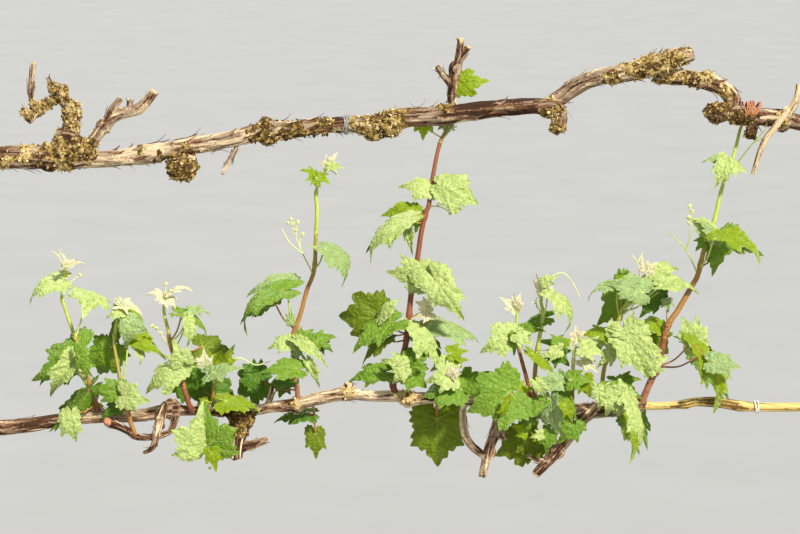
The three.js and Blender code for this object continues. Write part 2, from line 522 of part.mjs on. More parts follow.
    leaves: [
      ["backlit", 92, [457, 84, -18], [487, 80, -14], 14, 0, 0.75, 0, 10],
      ["backlit", 138, [424, 123, -20], [423, 139, -18], 0, 0, 1.1, 0, 0],
      ["silver", 140, [447, 123, -24], [446, 136, -24], 0, 0, 1.1, 0, 0],
      ["pale", 192, [440, 185, 6], [478, 201, 14], [471, 178, -0.5], [458, 215, 0.4], 25, 0.6],
      ["pale", 194, [431, 187, 6], [400, 182, 12], [414, 176, -0.5], [412, 198, 0.5], 25, 0.8],
      ["backlit", 214, [412, 212, 6], [381, 212, 2], [396, 201, -0.5], [396, 224, 0.5], 10, 0.8],
      ["pale", 216, [411, 217, 12], [359, 250, 20], [378, 227, -0.5], [386, 243, 0.5], 30, 0.5],
      ["pale", 222, [406, 222, 14], [412, 254, 18], [404, 241, 0.3], [415, 239, 0.3], 5, 0.6],
      ["mid", 214, [417, 214, 4], [417, 232, 4], 0, 20, 0.7, 0, 0],
      ["pale", 286, [436, 281, 22], [463, 319, 34], [466, 298, 0.1], [434, 307, 0.1], 16, 1.3],
      ["pale", 286, [430, 280, 18], [389, 273, 24], [399, 255, 0.1], [406, 293, 0.1], 16],
      ["woolly", 318, [427, 306, 10], [416, 302, 12], 10, 0, 1.0, 0, 0],
      ["woolly", 320, [430, 313, 10], [414, 318, 12], 30, 0, 0.8, 0, 20],
      ["olive", 330, [378, 318, 2], [338, 317, -4], [352, 291, -0.3], [350, 338, 0.3], 10],
      ["mid", 334, [390, 324, 16], [351, 347, 22], [362, 325, -0.5], [376, 344, 0.5], 20],
      ["olive", 340, [384, 340, 8], [358, 361, 8], [366, 344, -0.3], [374, 356, 0.2], 5],
      ["pale", 336, [380, 319, 10], [396, 296, 14], [386, 300, -0.5], [394, 309, 0.4], 5, 0.7],
      ["mid", 380, [383, 372, 6], [347, 377, 8], [362, 363, -0.4], [364, 384, 0.3], 10],
      ["pale", 368, [404, 367, 24], [384, 360, 28], [392, 350, -0.3], [391, 372, 0.4], 10],
      ["pale", 372, [404, 370, 26], [393, 384, 28], [390, 371, 0.2], [404, 384, 0.2], 5],
      ["mid", 370, [406, 365, 18], [429, 353, 24], [411, 346, -0.3], [428, 367, 0.3], 10],
      ["backlit", 372, [402, 369, 26], [407, 385, 28], 0, 0, 0.9, 0, 0],
      ["pale", 334, [412, 326, 12], [449, 366, 18], [442, 343, -0.3], [425, 352, 0.5], 10, 0.6],
      ["silver", 330, [432, 320, -6], [481, 334, -8], [457, 321, -0.8], [465, 345, 0.4], 20, 0.8],
      ["mid", 374, [408, 371, 14], [426, 386, 16], 20, 0, 1.0, 8, 0],
    ],
  },
  {
    name: "shoot_f_side",
    stem: [[449, 402, 0, 2.2], [450, 392, 4, 2], [451, 382, 6, 1.8], [449, 372, 7, 1.4], [450, 362, 7, 1.1]],
    stalks: [],
    buds: [],
    leaves: [
      ["pale", 378, [451, 376, 16], [428, 379, 22], 28, 0, 1.05, 6, 15],
      ["mid", 390, [455, 389, 10], [420, 391, 14], 52, 0, 0.9, 0, 15],
      ["mid", 388, [462, 389, 2], [489, 371, 2], 28, 0, 0.85, 6, 10],
      ["backlit", 364, [451, 353, 8], [467, 350, 8], 20, 0, 0.9, 0, 0],
      ["backlit", 366, [452, 361, 4], [468, 359, 4], 20, 0, 0.8, 0, 0],
      ["woolly", 376, [452, 375, 10], [459, 365, 12], 20, 0, 0.9, 10, 0],
      ["pale", 366, [445, 362, 12], [431, 370, 14], 20, 0, 0.9, 6, 0],
    ],
  },
  {
    name: "leaf_hang_f",
    stem: [[436, 398, -3, 1.7], [437, 406, -14, 1.5], [437, 414, -20, 1.2]],
    stalks: [],
    buds: [],
    leaves: [
      ["olive", 412, [437, 419, -22], [438, 467, -16], 4, 0, 0.85, 8, 10],
      ["deep", 404, [432, 409, -24], [421, 416, -26], 10, 0, 1.0, 0, 0],
    ],
  },
  {
    name: "shoot_g",
    stem: [[531, 409, 2, 2.3], [529, 392, 6, 2.2], [527, 380, 7, 2.1], [520, 354, 8, 1.9], [516, 334, 8, 1.6],
      [517, 318, 8, 1.3], [517, 309, 8, 1.1]],
    stalks: [],
    buds: [],
    leaves: [
      ["mid", 396, [511, 393, 28], [470, 411, 36], 10, 0, 1.1, 8, 12],
      ["backlit", 397, [518, 391, 22], [532, 388, 20], 14, 0, 1.1, 0, 0],
      ["pale", 336, [514, 333, 14], [482, 351, 24], [489, 326, -0.4], [500, 359, 0.3], 20, 0.5],
      ["mid", 334, [516, 331, 4], [543, 328, 10], [532, 321, -0.3], [530, 338, 0.3], 15],
      ["mid", 338, [514, 335, 20], [514, 355, 22], [508, 346, 0], [523, 348, 0], 10, 0.8],
      ["pale", 338, [518, 335, 14], [533, 345, 16], 20, 0, 0.9, 0, 0],
      ["woolly", 314, [515, 307, 8], [502, 298, 12], [513, 296, -0.3], [504, 309, 0.3], 10],
      ["woolly", 312, [518, 307, 6], [520, 295, 8], [513, 293, 0], [524, 303, 0.2], 10],
      ["backlit", 399, [507, 402, 32], [502, 422, 33], 0, 55, 0.6, 0, 0],
    ],
  },
  {
    name: "shoot_h",
    stem: [[537, 408, -2, 2.5], [535, 398, -3, 2.4], [534, 384, -3, 2.3], [538, 346, -4, 2.2],
      [543, 316, -3, 2], [541, 302, -2, 1.6], [542, 292, 0, 1.2]],
    stalks: [[[542, 292, 0], [549, 279, 3], [563, 273, 4], [574, 285, 4], [580, 298, 4]],
      [[541, 314, -3], [536, 304, -1], [531, 303, 2]], [[537, 308, -2], [536, 299, 0], [540, 297, 2]]],
    buds: [],
    leaves: [
      ["woolly", 296, [542, 293, 2], [536, 275, 5], [532, 281, -0.2], [549, 286, 0.3], 10],
      ["woolly", 296, [545, 292, 4], [547, 281, 6], 10, 0, 1.0, 10, 0],
      ["pale", 297, [544, 282, 5], [557, 276, 7], 20, 0, 0.7, 0, 0],
      ["pale", 316, [549, 295, 8], [581, 325, 18], [573, 304, -0.5], [562, 316, 0.5], 46, 0.6],
      ["mid", 322, [544, 318, -6], [520, 323, -8], [533, 313, -0.3], [532, 327, 0.5], 10],
      ["backlit", 352, [533, 354, 12], [562, 375, 16], [549, 360, -0.5], [544, 368, 0.5], 5, 0.7],
      ["mid", 350, [560, 346, -8], [541, 340, -6], 44, 0, 0.9, 0, 10],
      ["pale", 352, [558, 351, 6], [541, 357, 10], [549, 346, -0.2], [550, 362, 0.3], 5],
      ["backlit", 346, [556, 346, -14], [574, 339, -14], 40, 0, 1.0, -8, 10],
      ["deep", 360, [556, 353, 0], [569, 365, 2], 16, 0, 1.1, 0, 0],
      ["silver", 390, [560, 384, 18], [535, 380, 24], [549, 371, -0.3], [551, 390, 0.4], 15, 0.8],
      ["pale", 388, [537, 383, 26], [547, 399, 28], [536, 394, 0.1], [550, 389, 0.1], 10],
      ["mid", 398, [541, 403, 24], [520, 420, 30], [526, 403, -0.2], [535, 417, 0.3], 10, 0.8],
      ["silver", 398, [551, 400, 28], [558, 439, 34], [541, 426, -0.3], [564, 419, 0.4], 15, 0.7],
      ["pale", 399, [541, 435, 30], [531, 438, 32], [535, 430, 0], [538, 442, 0], 5],
      ["mid", 399, [551, 432, 22], [547, 455, 26], [539, 444, 0.1], [557, 443, 0.1], 10],
    ],
  },
  {
    name: "shoot_i",
    stem: [[571, 407, 2, 2.3], [572, 396, 4, 2.2], [573, 374, 6, 2.1], [574, 352, 6, 1.7],
      [577, 338, 6, 1.2]],
    stalks: [[[574, 354, 6], [570, 345, 7], [572, 340, 8]]],
    buds: [],
    leaves: [
      ["woolly", 341, [577, 338, 7], [576, 327, 9], 10, 0, 1.0, 10, 0],
      ["woolly", 342, [578, 337, 5], [585, 332, 6], 20, 0, 0.8, 0, 0],
      ["backlit", 348, [606, 335, -10], [583, 331, -10], 54, 0, 0.8, 0, 10],
      ["pale", 352, [590, 347, 0], [608, 342, 2], 40, 0, 1.0, 0, 10],
      ["pale", 356, [584, 348, 10], [605, 353, 14], 40, 0, 0.9, 0, 10],
      ["woolly", 360, [583, 361, 10], [599, 371, 14], 40, 0, 0.7, 0, 10],
      ["mid", 374, [563, 383, 20], [580, 420, 26], [577, 397, -0.3], [561, 410, 0.4], 15, 0.8],
      ["mid", 372, [571, 380, 26], [590, 380, 30], 30, 0, 1.0, 0, 20],
      ["backlit", 380, [584, 380, 22], [591, 398, 22], 10, 0, 0.9, 0, 0],
      ["backlit", 400, [565, 405, 30], [574, 421, 30], 0, 30, 0.7, 10, 0],
      ["mid", 402, [573, 423, 14], [560, 442, 16], 10, 0, 1.0, 10, 0],
    ],
  },
  {
    name: "leaf_low_h",
    stem: [[521, 412, -3, 1.7], [524, 422, -12, 1.5], [530, 438, -16, 1.2]],
    stalks: [],
    buds: [],
    leaves: [
      ["olive", 434, [529, 440, -18], [497, 453, -14], 24, 0, 1.0, 6, 10],
      ["olive", 434, [528, 439, -12], [527, 462, -10], 10, 0, 0.8, 8, 0],
      ["backlit", 424, [526, 431, 2], [513, 426, 4], 10, 0, 1.1, 0, 0],
      ["backlit", 426, [540, 438, 8], [532, 434, 8], 10, 0, 1.1, 0, 0],
      ["mid", 424, [532, 424, 6], [526, 414, 8], 10, 0, 1.1, 8, 0],
    ],
  },
  {
    name: "shoot_j",
    stem: [[601, 408, 4, 2.4], [602, 392, 6, 2.3], [604, 369, 8, 2.2], [612, 346, 8, 2.1], [620, 316, 6, 1.9],
      [632, 296, 4, 1.5], [641, 280, 2, 1.3], [648, 272, 2, 1.1]],
    stalks: [[[640, 280, 2], [638, 264, 4], [632, 255, 4]], [[638, 262, 4], [643, 252, 4]],
      [[621, 316, 6], [630, 309, 12], [637, 301, 13], [643, 296, 14]], [[636, 302, 13], [634, 297, 14]]],
    buds: [[643, 296, 14], [641, 293, 14], [634, 297, 14], [638, 300, 13]],
    leaves: [
      ["pale", 350, [626, 333, 26], [648, 377, 34], [664, 357, 0.2], [622, 368, 0.2], 12],
      ["silver", 318, [615, 287, 10], [584, 291, 20], [600, 280, -0.6], [602, 293, 0.6], 50],
      ["silver", 310, [642, 292, 8], [610, 281, 16], [628, 271, -0.3], [618, 297, 0.4], 20],
      ["pale", 306, [662, 286, 10], [699, 284, 8], [682, 271, -0.3], [680, 289, 0.9], 10, 0.6],
      ["pale", 300, [657, 272, 0], [679, 268, -2], [668, 260, -0.2], [668, 277, 0.3], 10],
      ["backlit", 300, [632, 282, -6], [618, 275, -6], 30, 0, 1.0, 0, 0],
      ["woolly", 275, [646, 270, 6], [656, 262, 8], 30, 0, 0.9, 10, 0],
      ["woolly", 276, [645, 269, 4], [642, 256, 6], 0, 0, 0.6, 10, 0],
      ["pale", 350, [629, 332, 24], [633, 311, 22], [623, 320, 0], [640, 320, 0], 5],
      ["pale", 352, [624, 334, 24], [605, 328, 24], [612, 322, 0], [609, 336, 0.2], 5],
      ["mid", 322, [622, 291, -10], [598, 326, -14], [600, 297, 0], [618, 325, 0], 5],
      ["deep", 312, [658, 293, 2], [641, 317, 4], [640, 299, 0], [655, 315, 0], 5],
      ["backlit", 312, [660, 291, -6], [656, 313, -6], 10, 40, 0.8, 0, 0],
      ["pale", 358, [612, 352, 16], [598, 366, 20], 20, 0, 0.8, 0, 10],
    ],
  },
  {
    name: "shoot_j_low",
    stem: [[621, 404, 3, 2.2], [620, 396, 8, 2], [618, 388, 10, 1.7], [614, 380, 12, 1.3]],
    stalks: [[[616, 383, 11], [607, 384, 18], [601, 396, 22]]],
    buds: [],
    leaves: [
      ["mid", 386, [615, 383, 16], [642, 396, 20], [634, 385, -0.2], [622, 398, 0.3], 10],
      ["pale", 388, [622, 400, 22], [603, 385, 26], 18, 0, 1.0, 10, 10],
      ["pale", 392, [598, 390, 30], [600, 411, 32], [592, 399, 0], [606, 402, 0], 5],
      ["pale", 392, [612, 400, 34], [606, 416, 36], 10, 0, 1.1, 8, 0],
      ["mid", 384, [622, 382, 8], [639, 377, 10], 40, 0, 0.9, 0, 10],
      ["pale", 396, [624, 398, 28], [637, 406, 32], 20, 0, 1.1, 8, 10],
      ["pale", 398, [634, 404, 26], [649, 449, 32], [648, 428, -0.5], [632, 431, 0.5], 6, 0.8],
      ["backlit", 399, [623, 412, 20], [641, 457, 26], [643, 436, -0.4], [630, 436, 0.5], 5, 0.6],
      ["deep", 400, [628, 409, 12], [612, 415, 12], 30, 0, 1.0, 0, 0],
    ],
  },
  {
    name: "shoot_k",
    stem: [[642, 402, 2, 3.7], [646, 392, 4, 3.5], [653, 376, 4, 3.4], [658, 367, 4, 3.2], [667, 328, 2, 3],
      [678, 310, 1, 2.9], [693, 284, 0, 2.8], [698, 274, 0, 2.7], [705, 246, -2, 2.4], [715, 218, -4, 2.2],
      [722, 188, -6, 2], [733, 158, -10, 1.8], [740, 130, -16, 1.6], [744, 122, -18, 1.3]],
    stalks: [[[697, 273, 0], [686, 250, 6], [669, 232, 8]], [[686, 250, 6], [690, 236, 7], [690, 210, 8]],
      [[738, 162, -4], [753, 143, 6], [767, 128, 14]], [[753, 143, 6], [766, 136, 12]]],
    buds: [[690, 206, 8], [692, 211, 8], [689, 217, 8], [689, 223, 8]],
    leaves: [
      ["silver", 166, [727, 162, 4], [704, 157, 10], [714, 152, -0.5], [714, 168, 0.6], 30],
      ["pale", 166, [728, 162, 6], [751, 172, 12], [741, 162, -0.5], [736, 177, 0.5], 30],
      ["pale", 168, [726, 164, 12], [716, 186, 18], [712, 170, 0.3], [728, 180, 0.3], 10],
      ["pale", 226, [712, 233, 4], [691, 217, 10], [703, 215, -0.3], [697, 233, 0.3], 20],
      ["silver", 230, [716, 237, 10], [699, 216, 14], [710, 222, -0.4], [707, 230, 0.4], 10],
      ["mid", 240, [705, 240, 6], [696, 250, 8], 20, 0, 1.0, 0, 10],
      ["backlit", 268, [716, 239, 10], [768, 253, 18], [744, 232, -0.6], [741, 249, 0.5], 46, 0.5],
      ["mid", 268, [715, 242, 16], [714, 274, 24], [736, 249, 0.2], [706, 261, 0.2], 10],
      ["silver", 330, [667, 301, 6], [668, 312, 8], 0, 0, 1.0, 0, 0],
      ["backlit", 327, [662, 327, -8], [641, 317, -8], 64, 0, 0.9, 0, 10],
      ["olive", 350, [651, 337, -14], [669, 354, -16], 8, 0, 1.1, 0, 0],
      ["backlit", 367, [693, 344, 14], [734, 399, 20], [735, 377, -0.2], [713, 377, 0.5], 12, 0.7],
      ["pale", 367, [695, 343, 10], [683, 318, 8], 10, 0, 0.7, 8, 10],
      ["pale", 367, [698, 342, 8], [697, 317, 4], 10, 0, 0.7, 8, 10],
      ["silver", 367, [714, 362, 20], [740, 366, 20], 30, 0, 0.7, 0, 10],
      ["pale", 366, [689, 341, 12], [673, 336, 8], 10, 0, 0.4, 0, 0],
      ["pale", 368, [650, 367, 14], [666, 357, 16], 16, 0, 1.0, 6, 0],
    ],
  },
];

// Shoots beyond what is looked at, grown by the seeded rule from a foot and a direction.
const RULE_SHOOTS = [
  { name: "shoot_l", foot: [876, 403, 0], lean: 8, out: 10, nodes: 5, spacing: 34, blade: 38, seed: 11 },
  { name: "shoot_m", foot: [944, 397, 0], lean: 14, out: 20, nodes: 4, spacing: 29, blade: 34, seed: 23 },
  { name: "shoot_n", foot: [-76, 433, 0], lean: 3, out: 14, nodes: 4, spacing: 30, blade: 34, seed: 37 },
  { name: "shoot_o", foot: [886, 125, 0], lean: 10, out: 12, nodes: 4, spacing: 27, blade: 32, seed: 51 },
];

// Half of the blade outline as angles from the midrib and reaches, both sides alike: a point either
// side of each dip between lobes on a large leaf, and a plain rounded half on a small one.
const OUTLINE = [
  [22, 0.78],
  [46, 0.84],
  [74, 0.64],
  [104, 0.68],
  [146, 0.5],
];
const SMALL_OUTLINE = [
  [32, 0.78],
  [76, 0.68],
  [136, 0.52],
];
const STALK_WEB_DEGREES = 160;
const LOBE_FORWARD = 0.587;
const LOBE_SIDEWAYS = 0.629;
const SMALL_BLADE = 46;
const LONG_BLADE = 46;
const BENT_BLADE = 44;
const BENT_HALF_DEGREES = 22;
const REAR_LOBE_DEGREES = 60;
const REAR_LOBE_SPAN = 44;
const EDGE_DROP = 0.1;
const BACK_LEAF_SIZE = 45;
const BACK_LEAF_OUT = 8;
const BACK_SHIFT = 30;
const BACK_SHIFT_SPREAD = 22;
const BACK_LEAN = 14;
const BACK_START = 0.22;
const BACK_END = 0.86;
const BACK_TILT = 30;
const BACK_WIDTH = 0.55;

// The frame of a blade: where it starts, how its midrib bends and how each half spreads. A row gives
// either the angles the blade faces or the places of its two side lobes.
function bladeFrame(row, nudge) {
  const lobed = Array.isArray(row[4]);
  const at = sighted(row[2][0], row[2][1], row[2][2] + nudge);
  const tip = sighted(row[3][0], row[3][1], row[3][2] + nudge);
  const along = tip.clone().sub(at);
  const chord = along.length();
  along.normalize();
  const half = (Math.max(lobed ? row[6] : row[8], 1) * DEGREE) / 2;
  const length = (chord * half) / Math.sin(half);
  const spread = lobed ? lobedSpread(row, nudge, at, tip, along, length) : facedSpread(row, along, length);
  const across = spread.face.clone().cross(along);
  return { at, along, across, half, length, ...spread };
}

// How a blade spreads that is given by the angles it faces, its width and the fold of its halves.
function facedSpread(row, along, length) {
  const up = row[4] * DEGREE;
  const side = row[5] * DEGREE;
  const fold = row[7] * DEGREE;
  const face = VIEWER.clone().multiplyScalar(Math.cos(up) * Math.cos(side));
  face.addScaledVector(RIGHT, Math.cos(up) * Math.sin(side));
  face.addScaledVector(SKY, Math.sin(up));
  face.addScaledVector(along, -face.dot(along)).normalize();
  const sides = [1, -1].map((way) => {
    const spread = face.clone().cross(along).multiplyScalar(way * Math.cos(fold));
    return spread.addScaledVector(face, Math.sin(fold)).multiplyScalar(row[6] * length);
  });
  return { face, sides, base: 1 };
}

// How a blade spreads that is given by the places of its side lobes and the share of the length
// left over that takes each lobe toward the viewer or away.
function lobedSpread(row, nudge, at, tip, along, length) {
  const middle = at.clone().lerp(tip, LOBE_FORWARD);
  const out = row[2][2] + (row[3][2] - row[2][2]) * LOBE_FORWARD + nudge;
  const sides = [row[4], row[5]].map(([across, down, share]) => {
    const flat = sighted(across, down, out).sub(middle).divideScalar(LOBE_SIDEWAYS);
    const spare = Math.sqrt(Math.max(length ** 2 - flat.lengthSq(), 0)) * share;
    const lobe = sighted(across, down, out + LOBE_SIDEWAYS * spare);
    return lobe.sub(middle).divideScalar(LOBE_SIDEWAYS);
  });
  const face = along.clone().cross(sides[0].clone().sub(sides[1])).normalize();
  if (face.dot(VIEWER) < 0) {
    sides.reverse();
    face.negate();
  }
  return { face, sides, base: row[7] ?? 1 };
}

// A point of a blade at an angle and reach from where stalk and blade meet.
function bladePoint(frame, angle, reach, lift) {
  const forward = frame.length * reach * Math.cos(angle);
  const heading = frame.half - Math.max(forward / frame.length, 0) * 2 * frame.half;
  const radius = frame.length / (2 * frame.half);
  let run = radius * (Math.sin(frame.half) - Math.sin(heading));
  let rise = radius * (Math.cos(heading) - Math.cos(frame.half));
  if (forward < 0) {
    run = forward * Math.cos(frame.half);
    rise = forward * Math.sin(frame.half);
  }
  const raised = lift - EDGE_DROP * frame.length * reach * reach;
  const point = frame.at.clone();
  point.addScaledVector(frame.along, run - raised * Math.sin(heading));
  point.addScaledVector(frame.face, rise + raised * Math.cos(heading));
  return point.addScaledVector(frame.sides[angle >= 0 ? 0 : 1], Math.abs(reach * Math.sin(angle)));
}

// The whole outline of a blade from one side of the stalk round the tip to the other side, with its
// rear lobes drawn in or out.
function outlineOf(half, base) {
  const drawn = half.map(([angle, reach]) => {
    const share = Math.min(Math.max((angle - REAR_LOBE_DEGREES) / REAR_LOBE_SPAN, 0), 1);
    return [angle, angle < STALK_WEB_DEGREES ? reach * (1 + (base - 1) * share) : reach];
  });
  const left = drawn.map(([angle, reach]) => [angle * DEGREE, reach]).reverse();
  const right = drawn.map(([angle, reach]) => [-angle * DEGREE, reach]);
  return [...left, [0, 1], ...right];
}

// A thin closed blade with its stalk in one skin, thickest where the two meet and sharp at its
// outline, with a middle ring of corners where the midrib bends much.
function leafSolid(frame, stalk) {
  const web = stalk.radius / Math.sin((180 - STALK_WEB_DEGREES) * DEGREE) / frame.length;
  const lobes = frame.length < SMALL_BLADE ? SMALL_OUTLINE : OUTLINE;
  const outline = outlineOf([...lobes, [STALK_WEB_DEGREES, web]], frame.base);
  const bent = frame.length > BENT_BLADE && frame.half > BENT_HALF_DEGREES * DEGREE;
  const reaches = bent ? [0.55, 1] : [1];
  const thick = Math.max(LEAF_THICKNESS, frame.length / 40);
  const count = outline.length;
  const rings = reaches.length;
  const corners = [];
  for (const lift of [thick / 2, -thick / 2]) {
    corners.push(bladePoint(frame, 0, 0, lift));
    for (const share of reaches.slice(0, -1)) {
      for (const [angle, reach] of outline.slice(1, -1)) {
        corners.push(bladePoint(frame, angle, reach * share, lift * (1 - share)));
      }
    }
  }
  const layer = corners.length / 2;
  const rim = corners.length;
  for (const [angle, reach] of outline) {
    corners.push(bladePoint(frame, angle, reach, 0));
  }
  const triangles = [];
  const corner = (start, ring, index) => {
    const onRim = ring === rings - 1 || index === 0 || index === count - 1;
    return onRim ? rim + index : start + ring * (count - 2) + index;
  };
  for (const start of [0, layer]) {
    const faces = [];
    for (let index = 0; index < count - 1; index += 1) {
      faces.push([start, corner(start, 0, index), corner(start, 0, index + 1)]);
      for (let ring = 1; ring < rings; ring += 1) {
        const inner = corner(start, ring - 1, index);
        const nextInner = corner(start, ring - 1, index + 1);
        faces.push([inner, corner(start, ring, index), corner(start, ring, index + 1)]);
        faces.push([inner, corner(start, ring, index + 1), nextInner]);
      }
    }
    for (const [a, b, c] of faces) {
      if (a !== b && b !== c && a !== c) {
        triangles.push(start === 0 ? [a, c, b] : [a, b, c]);
      }
    }
  }
  const mouth = [0, rim, layer, rim + count - 1];
  let ring = null;
  let sideways = frame.across.clone();
  let from = frame.at;
  for (const place of stalk.places) {
    const along = place.clone().sub(from).normalize();
    sideways.addScaledVector(along, -sideways.dot(along)).normalize();
    const upward = sideways.clone().cross(along);
    const next = [];
    for (const [up, side] of [[1, 0], [-0.5, 0.87], [-0.5, -0.87]]) {
      next.push(corners.length);
      const corner = place.clone().addScaledVector(upward, up * stalk.radius);
      corners.push(corner.addScaledVector(sideways, side * stalk.radius));
    }
    const [top, left, right] = next;
    if (ring === null) {
      triangles.push([mouth[0], mouth[1], left], [mouth[0], left, top], [mouth[1], mouth[2], left]);
      triangles.push([mouth[2], right, left], [mouth[2], mouth[3], right]);
      triangles.push([mouth[3], mouth[0], top], [mouth[3], top, right]);
    } else {
      for (let side = 0; side < 3; side += 1) {
        const other = (side + 1) % 3;
        triangles.push([ring[side], ring[other], next[other]], [ring[side], next[other], next[side]]);
      }
    }
    ring = next;
    from = place;
  }
  triangles.push([ring[0], ring[1], ring[2]]);
  return solidFrom(corners, triangles);
}

// The station of a stem at a height down the face.
function stationAt(rows, down) {
  for (let index = 0; index < rows.length - 1; index += 1) {
    const from = rows[index];
    const to = rows[index + 1];
    const low = Math.min(from[1], to[1]);
    const high = Math.max(from[1], to[1]);
    if (down >= low && down <= high && high > low) {
      const t = (down - from[1]) / (to[1] - from[1]);
      return from.map((value, axis) => value + (to[axis] - value) * t);
    }
  }
  return down < rows[rows.length - 1][1] ? rows[rows.length - 1] : rows[0];
}

// A leaf stalk from where it meets the blade back to the middle of the stem.
function stalkOf(stem, row, frame) {
  const root = stationAt(stem, row[1]);
  const start = sighted(root[0], root[1], root[2]);
  const middle = start.clone().lerp(frame.at, 0.5);
  middle.z -= STALK_SAG * start.distanceTo(frame.at);
  const radius = Math.min(STALK_RADIUS, 0.5 + frame.length * 0.012);
  return { radius, places: frame.length > LONG_BLADE ? [middle, start] : [start] };
}

// A shoot outside the looked-at face: a stem of nodes with a leaf on alternate sides.
function ruleShoot(rule) {
  const random = seeded(rule.seed);
  const stem = [[rule.foot[0], rule.foot[1], rule.foot[2], 2.6]];
  const leaves = [];
  const tones = ["deep", "mid", "mid", "pale", "pale", "backlit", "woolly"];
  let across = rule.foot[0];
  let down = rule.foot[1];
  let out = rule.foot[2];
  for (let node = 1; node <= rule.nodes; node += 1) {
    across += rule.lean * (0.6 + 0.8 * random());
    down -= rule.spacing * (0.85 + 0.3 * random());
    out += rule.out * (0.5 - random()) * 0.8;
    stem.push([across, down, out, 2.6 - (1.5 * node) / rule.nodes]);
    const side = node % 2 === 0 ? 1 : -1;
    const size = rule.blade * (1.1 - (0.6 * node) / rule.nodes);
    const depth = (random() - 0.5) * 70;
    const stalk = 0.7 * size;
    const base = [across + side * stalk * 0.8, down - stalk * 0.3, out + depth * 0.5];
    const fall = size * (0.2 + 0.5 * random());
    const tip = [base[0] + side * size * 0.8, base[1] + fall, base[2] + depth * 0.5];
    const up = 20 + 40 * random();
    leaves.push([tones[Math.min(node, tones.length - 1)], down, base, tip, up, side * 10, 1, 6, 25]);
    if (node % 2 === 1 && node < rule.nodes - 1) {
      const behind = depth > 0 ? -1 : 1;
      const second = [across - side * stalk * 0.5, down + 8, out + behind * (18 + 14 * random())];
      const end = [second[0] - side * size * 0.6, second[1] + size * 0.5, second[2] + behind * 10];
      leaves.push(["mid", down, second, end, 30, -side * 20, 0.95, 6, 25]);
    }
  }
  return { name: rule.name, stem, stalks: [], buds: [], leaves };
}

// Leaves behind the front ones, so that the vine is full from every side.
function backLeaves(shoot, seed) {
  const random = seeded(seed);
  const added = [];
  for (const row of shoot.leaves) {
    const size = Math.hypot(row[3][0] - row[2][0], row[3][1] - row[2][1]);
    if (size < BACK_LEAF_SIZE || row[2][2] < BACK_LEAF_OUT) {
      continue;
    }
    const shift = BACK_SHIFT + BACK_SHIFT_SPREAD * random();
    const [at, tip] = [BACK_START, BACK_END].map((share) => {
      return [0, 1].map((axis) => row[2][axis] + (row[3][axis] - row[2][axis]) * share);
    });
    const from = [...at, row[2][2] - shift];
    const to = [...tip, row[3][2] - shift - BACK_LEAN];
    const faced = !Array.isArray(row[4]);
    const up = faced ? row[4] : BACK_TILT;
    const width = faced ? row[6] : BACK_WIDTH;
    added.push(["deep", row[1], from, to, 180 - up * 0.8, 0, width * 0.8, 4, 10]);
  }
  return added;
}

const group = new THREE.Group();
group.name = "grapevine";

// A named mesh with its own material from a finished solid, where corners that fall together are
// drawn a hundredth of a millimetre apart so that the skin stays closed.
function addMesh(name, solid, colour, roughness) {
  const mesh = solid.getMesh();
  const geometry = new THREE.BufferGeometry();
  const corners = [];
  const taken = new Set();
  for (let index = 0; index < mesh.vertProperties.length; index += mesh.numProp) {
    const corner = Array.from(mesh.vertProperties.slice(index, index + 3));
    while (taken.has(corner.map((value) => value.toFixed(2)).join(" "))) {
      corner[2] += CORNER_SPACE;
    }
    taken.add(corner.map((value) => value.toFixed(2)).join(" "));
    corners.push(...corner);
  }
  geometry.setAttribute("position", new THREE.BufferAttribute(new Float32Array(corners), 3));
  geometry.setIndex(new THREE.BufferAttribute(new Uint32Array(mesh.triVerts), 1));
  const material = new THREE.MeshStandardMaterial({ color: colour, roughness });
  material.name = name + "_finish";
  const made = new THREE.Mesh(geometry, material);
  made.name = name;
  group.add(made);
}

const BARK = 0x6b5138;
const CANE = 0xb79a55;
const LICHEN = 0x8c7a4a;
const LEAF = 0x86b040;
const LIMB_COLOURS = { lower_cane: CANE, hanging_knob: LICHEN, dead_cane: 0x9b8470, bark_flake: LICHEN };

const placed = [];

// Remembers a solid that later ones keep clear of.
function place(name, solid) {
  placed.push({ name, solid, box: solid.boundingBox() });
}

// The trunk stands on its flat cut.
const trunkLine = smoothed(trunkWaypoints(), 1);
const earth = solidOfGeometry(new THREE.BoxGeometry(400, 400, 200).translate(0, 0, -100));
const headKnot = (swell) => knot(new THREE.Vector3(2, 0, TRUNK_HEIGHT - 8), 27, 24, swell, 5);
const lowKnot = (swell) => knot(new THREE.Vector3(10, -2, 905), 26, 30, swell, 9);
function trunkSolid(swell) {
  return tube(trunkLine, 10, swell).add(headKnot(swell)).add(lowKnot(swell)).subtract(earth);
}
addMesh("trunk", largest(trunkSolid(0).asOriginal().simplify(SMOOTHING)), BARK, 0.9);
place("trunk", trunkSolid(PART_GAP));

// Limbs in order, each cut back to stand clear of the limbs before it.
LIMBS.forEach((limb, order) => {
  const lines = limb.paths.map((path) => smoothed(path.map(waypoint), 1));
  const build = (swell) => {
    let solid = null;
    for (const line of lines) {
      const sides = line[0].radius > 7 ? 7 : line[0].radius > 4.5 ? 5 : 4;
      const piece = tube(line, sides, swell);
      solid = solid === null ? piece : solid.add(piece);
    }
    limb.knots.forEach(([across, down, out, wide, tall], index) => {
      solid = solid.add(knot(sighted(across, down, out), wide, tall, swell, 100 * order + index));
    });
    return solid;
  };
  let solid = build(0).asOriginal().simplify(SMOOTHING);
  for (const other of placed) {
    if (touches(solid, solid.boundingBox(), other)) {
      solid = solid.subtract(other.solid);
    }
  }
  addMesh(limb.name, largest(solid), LIMB_COLOURS[limb.name] ?? BARK, 0.88);
  place(limb.name, build(PART_GAP));
});

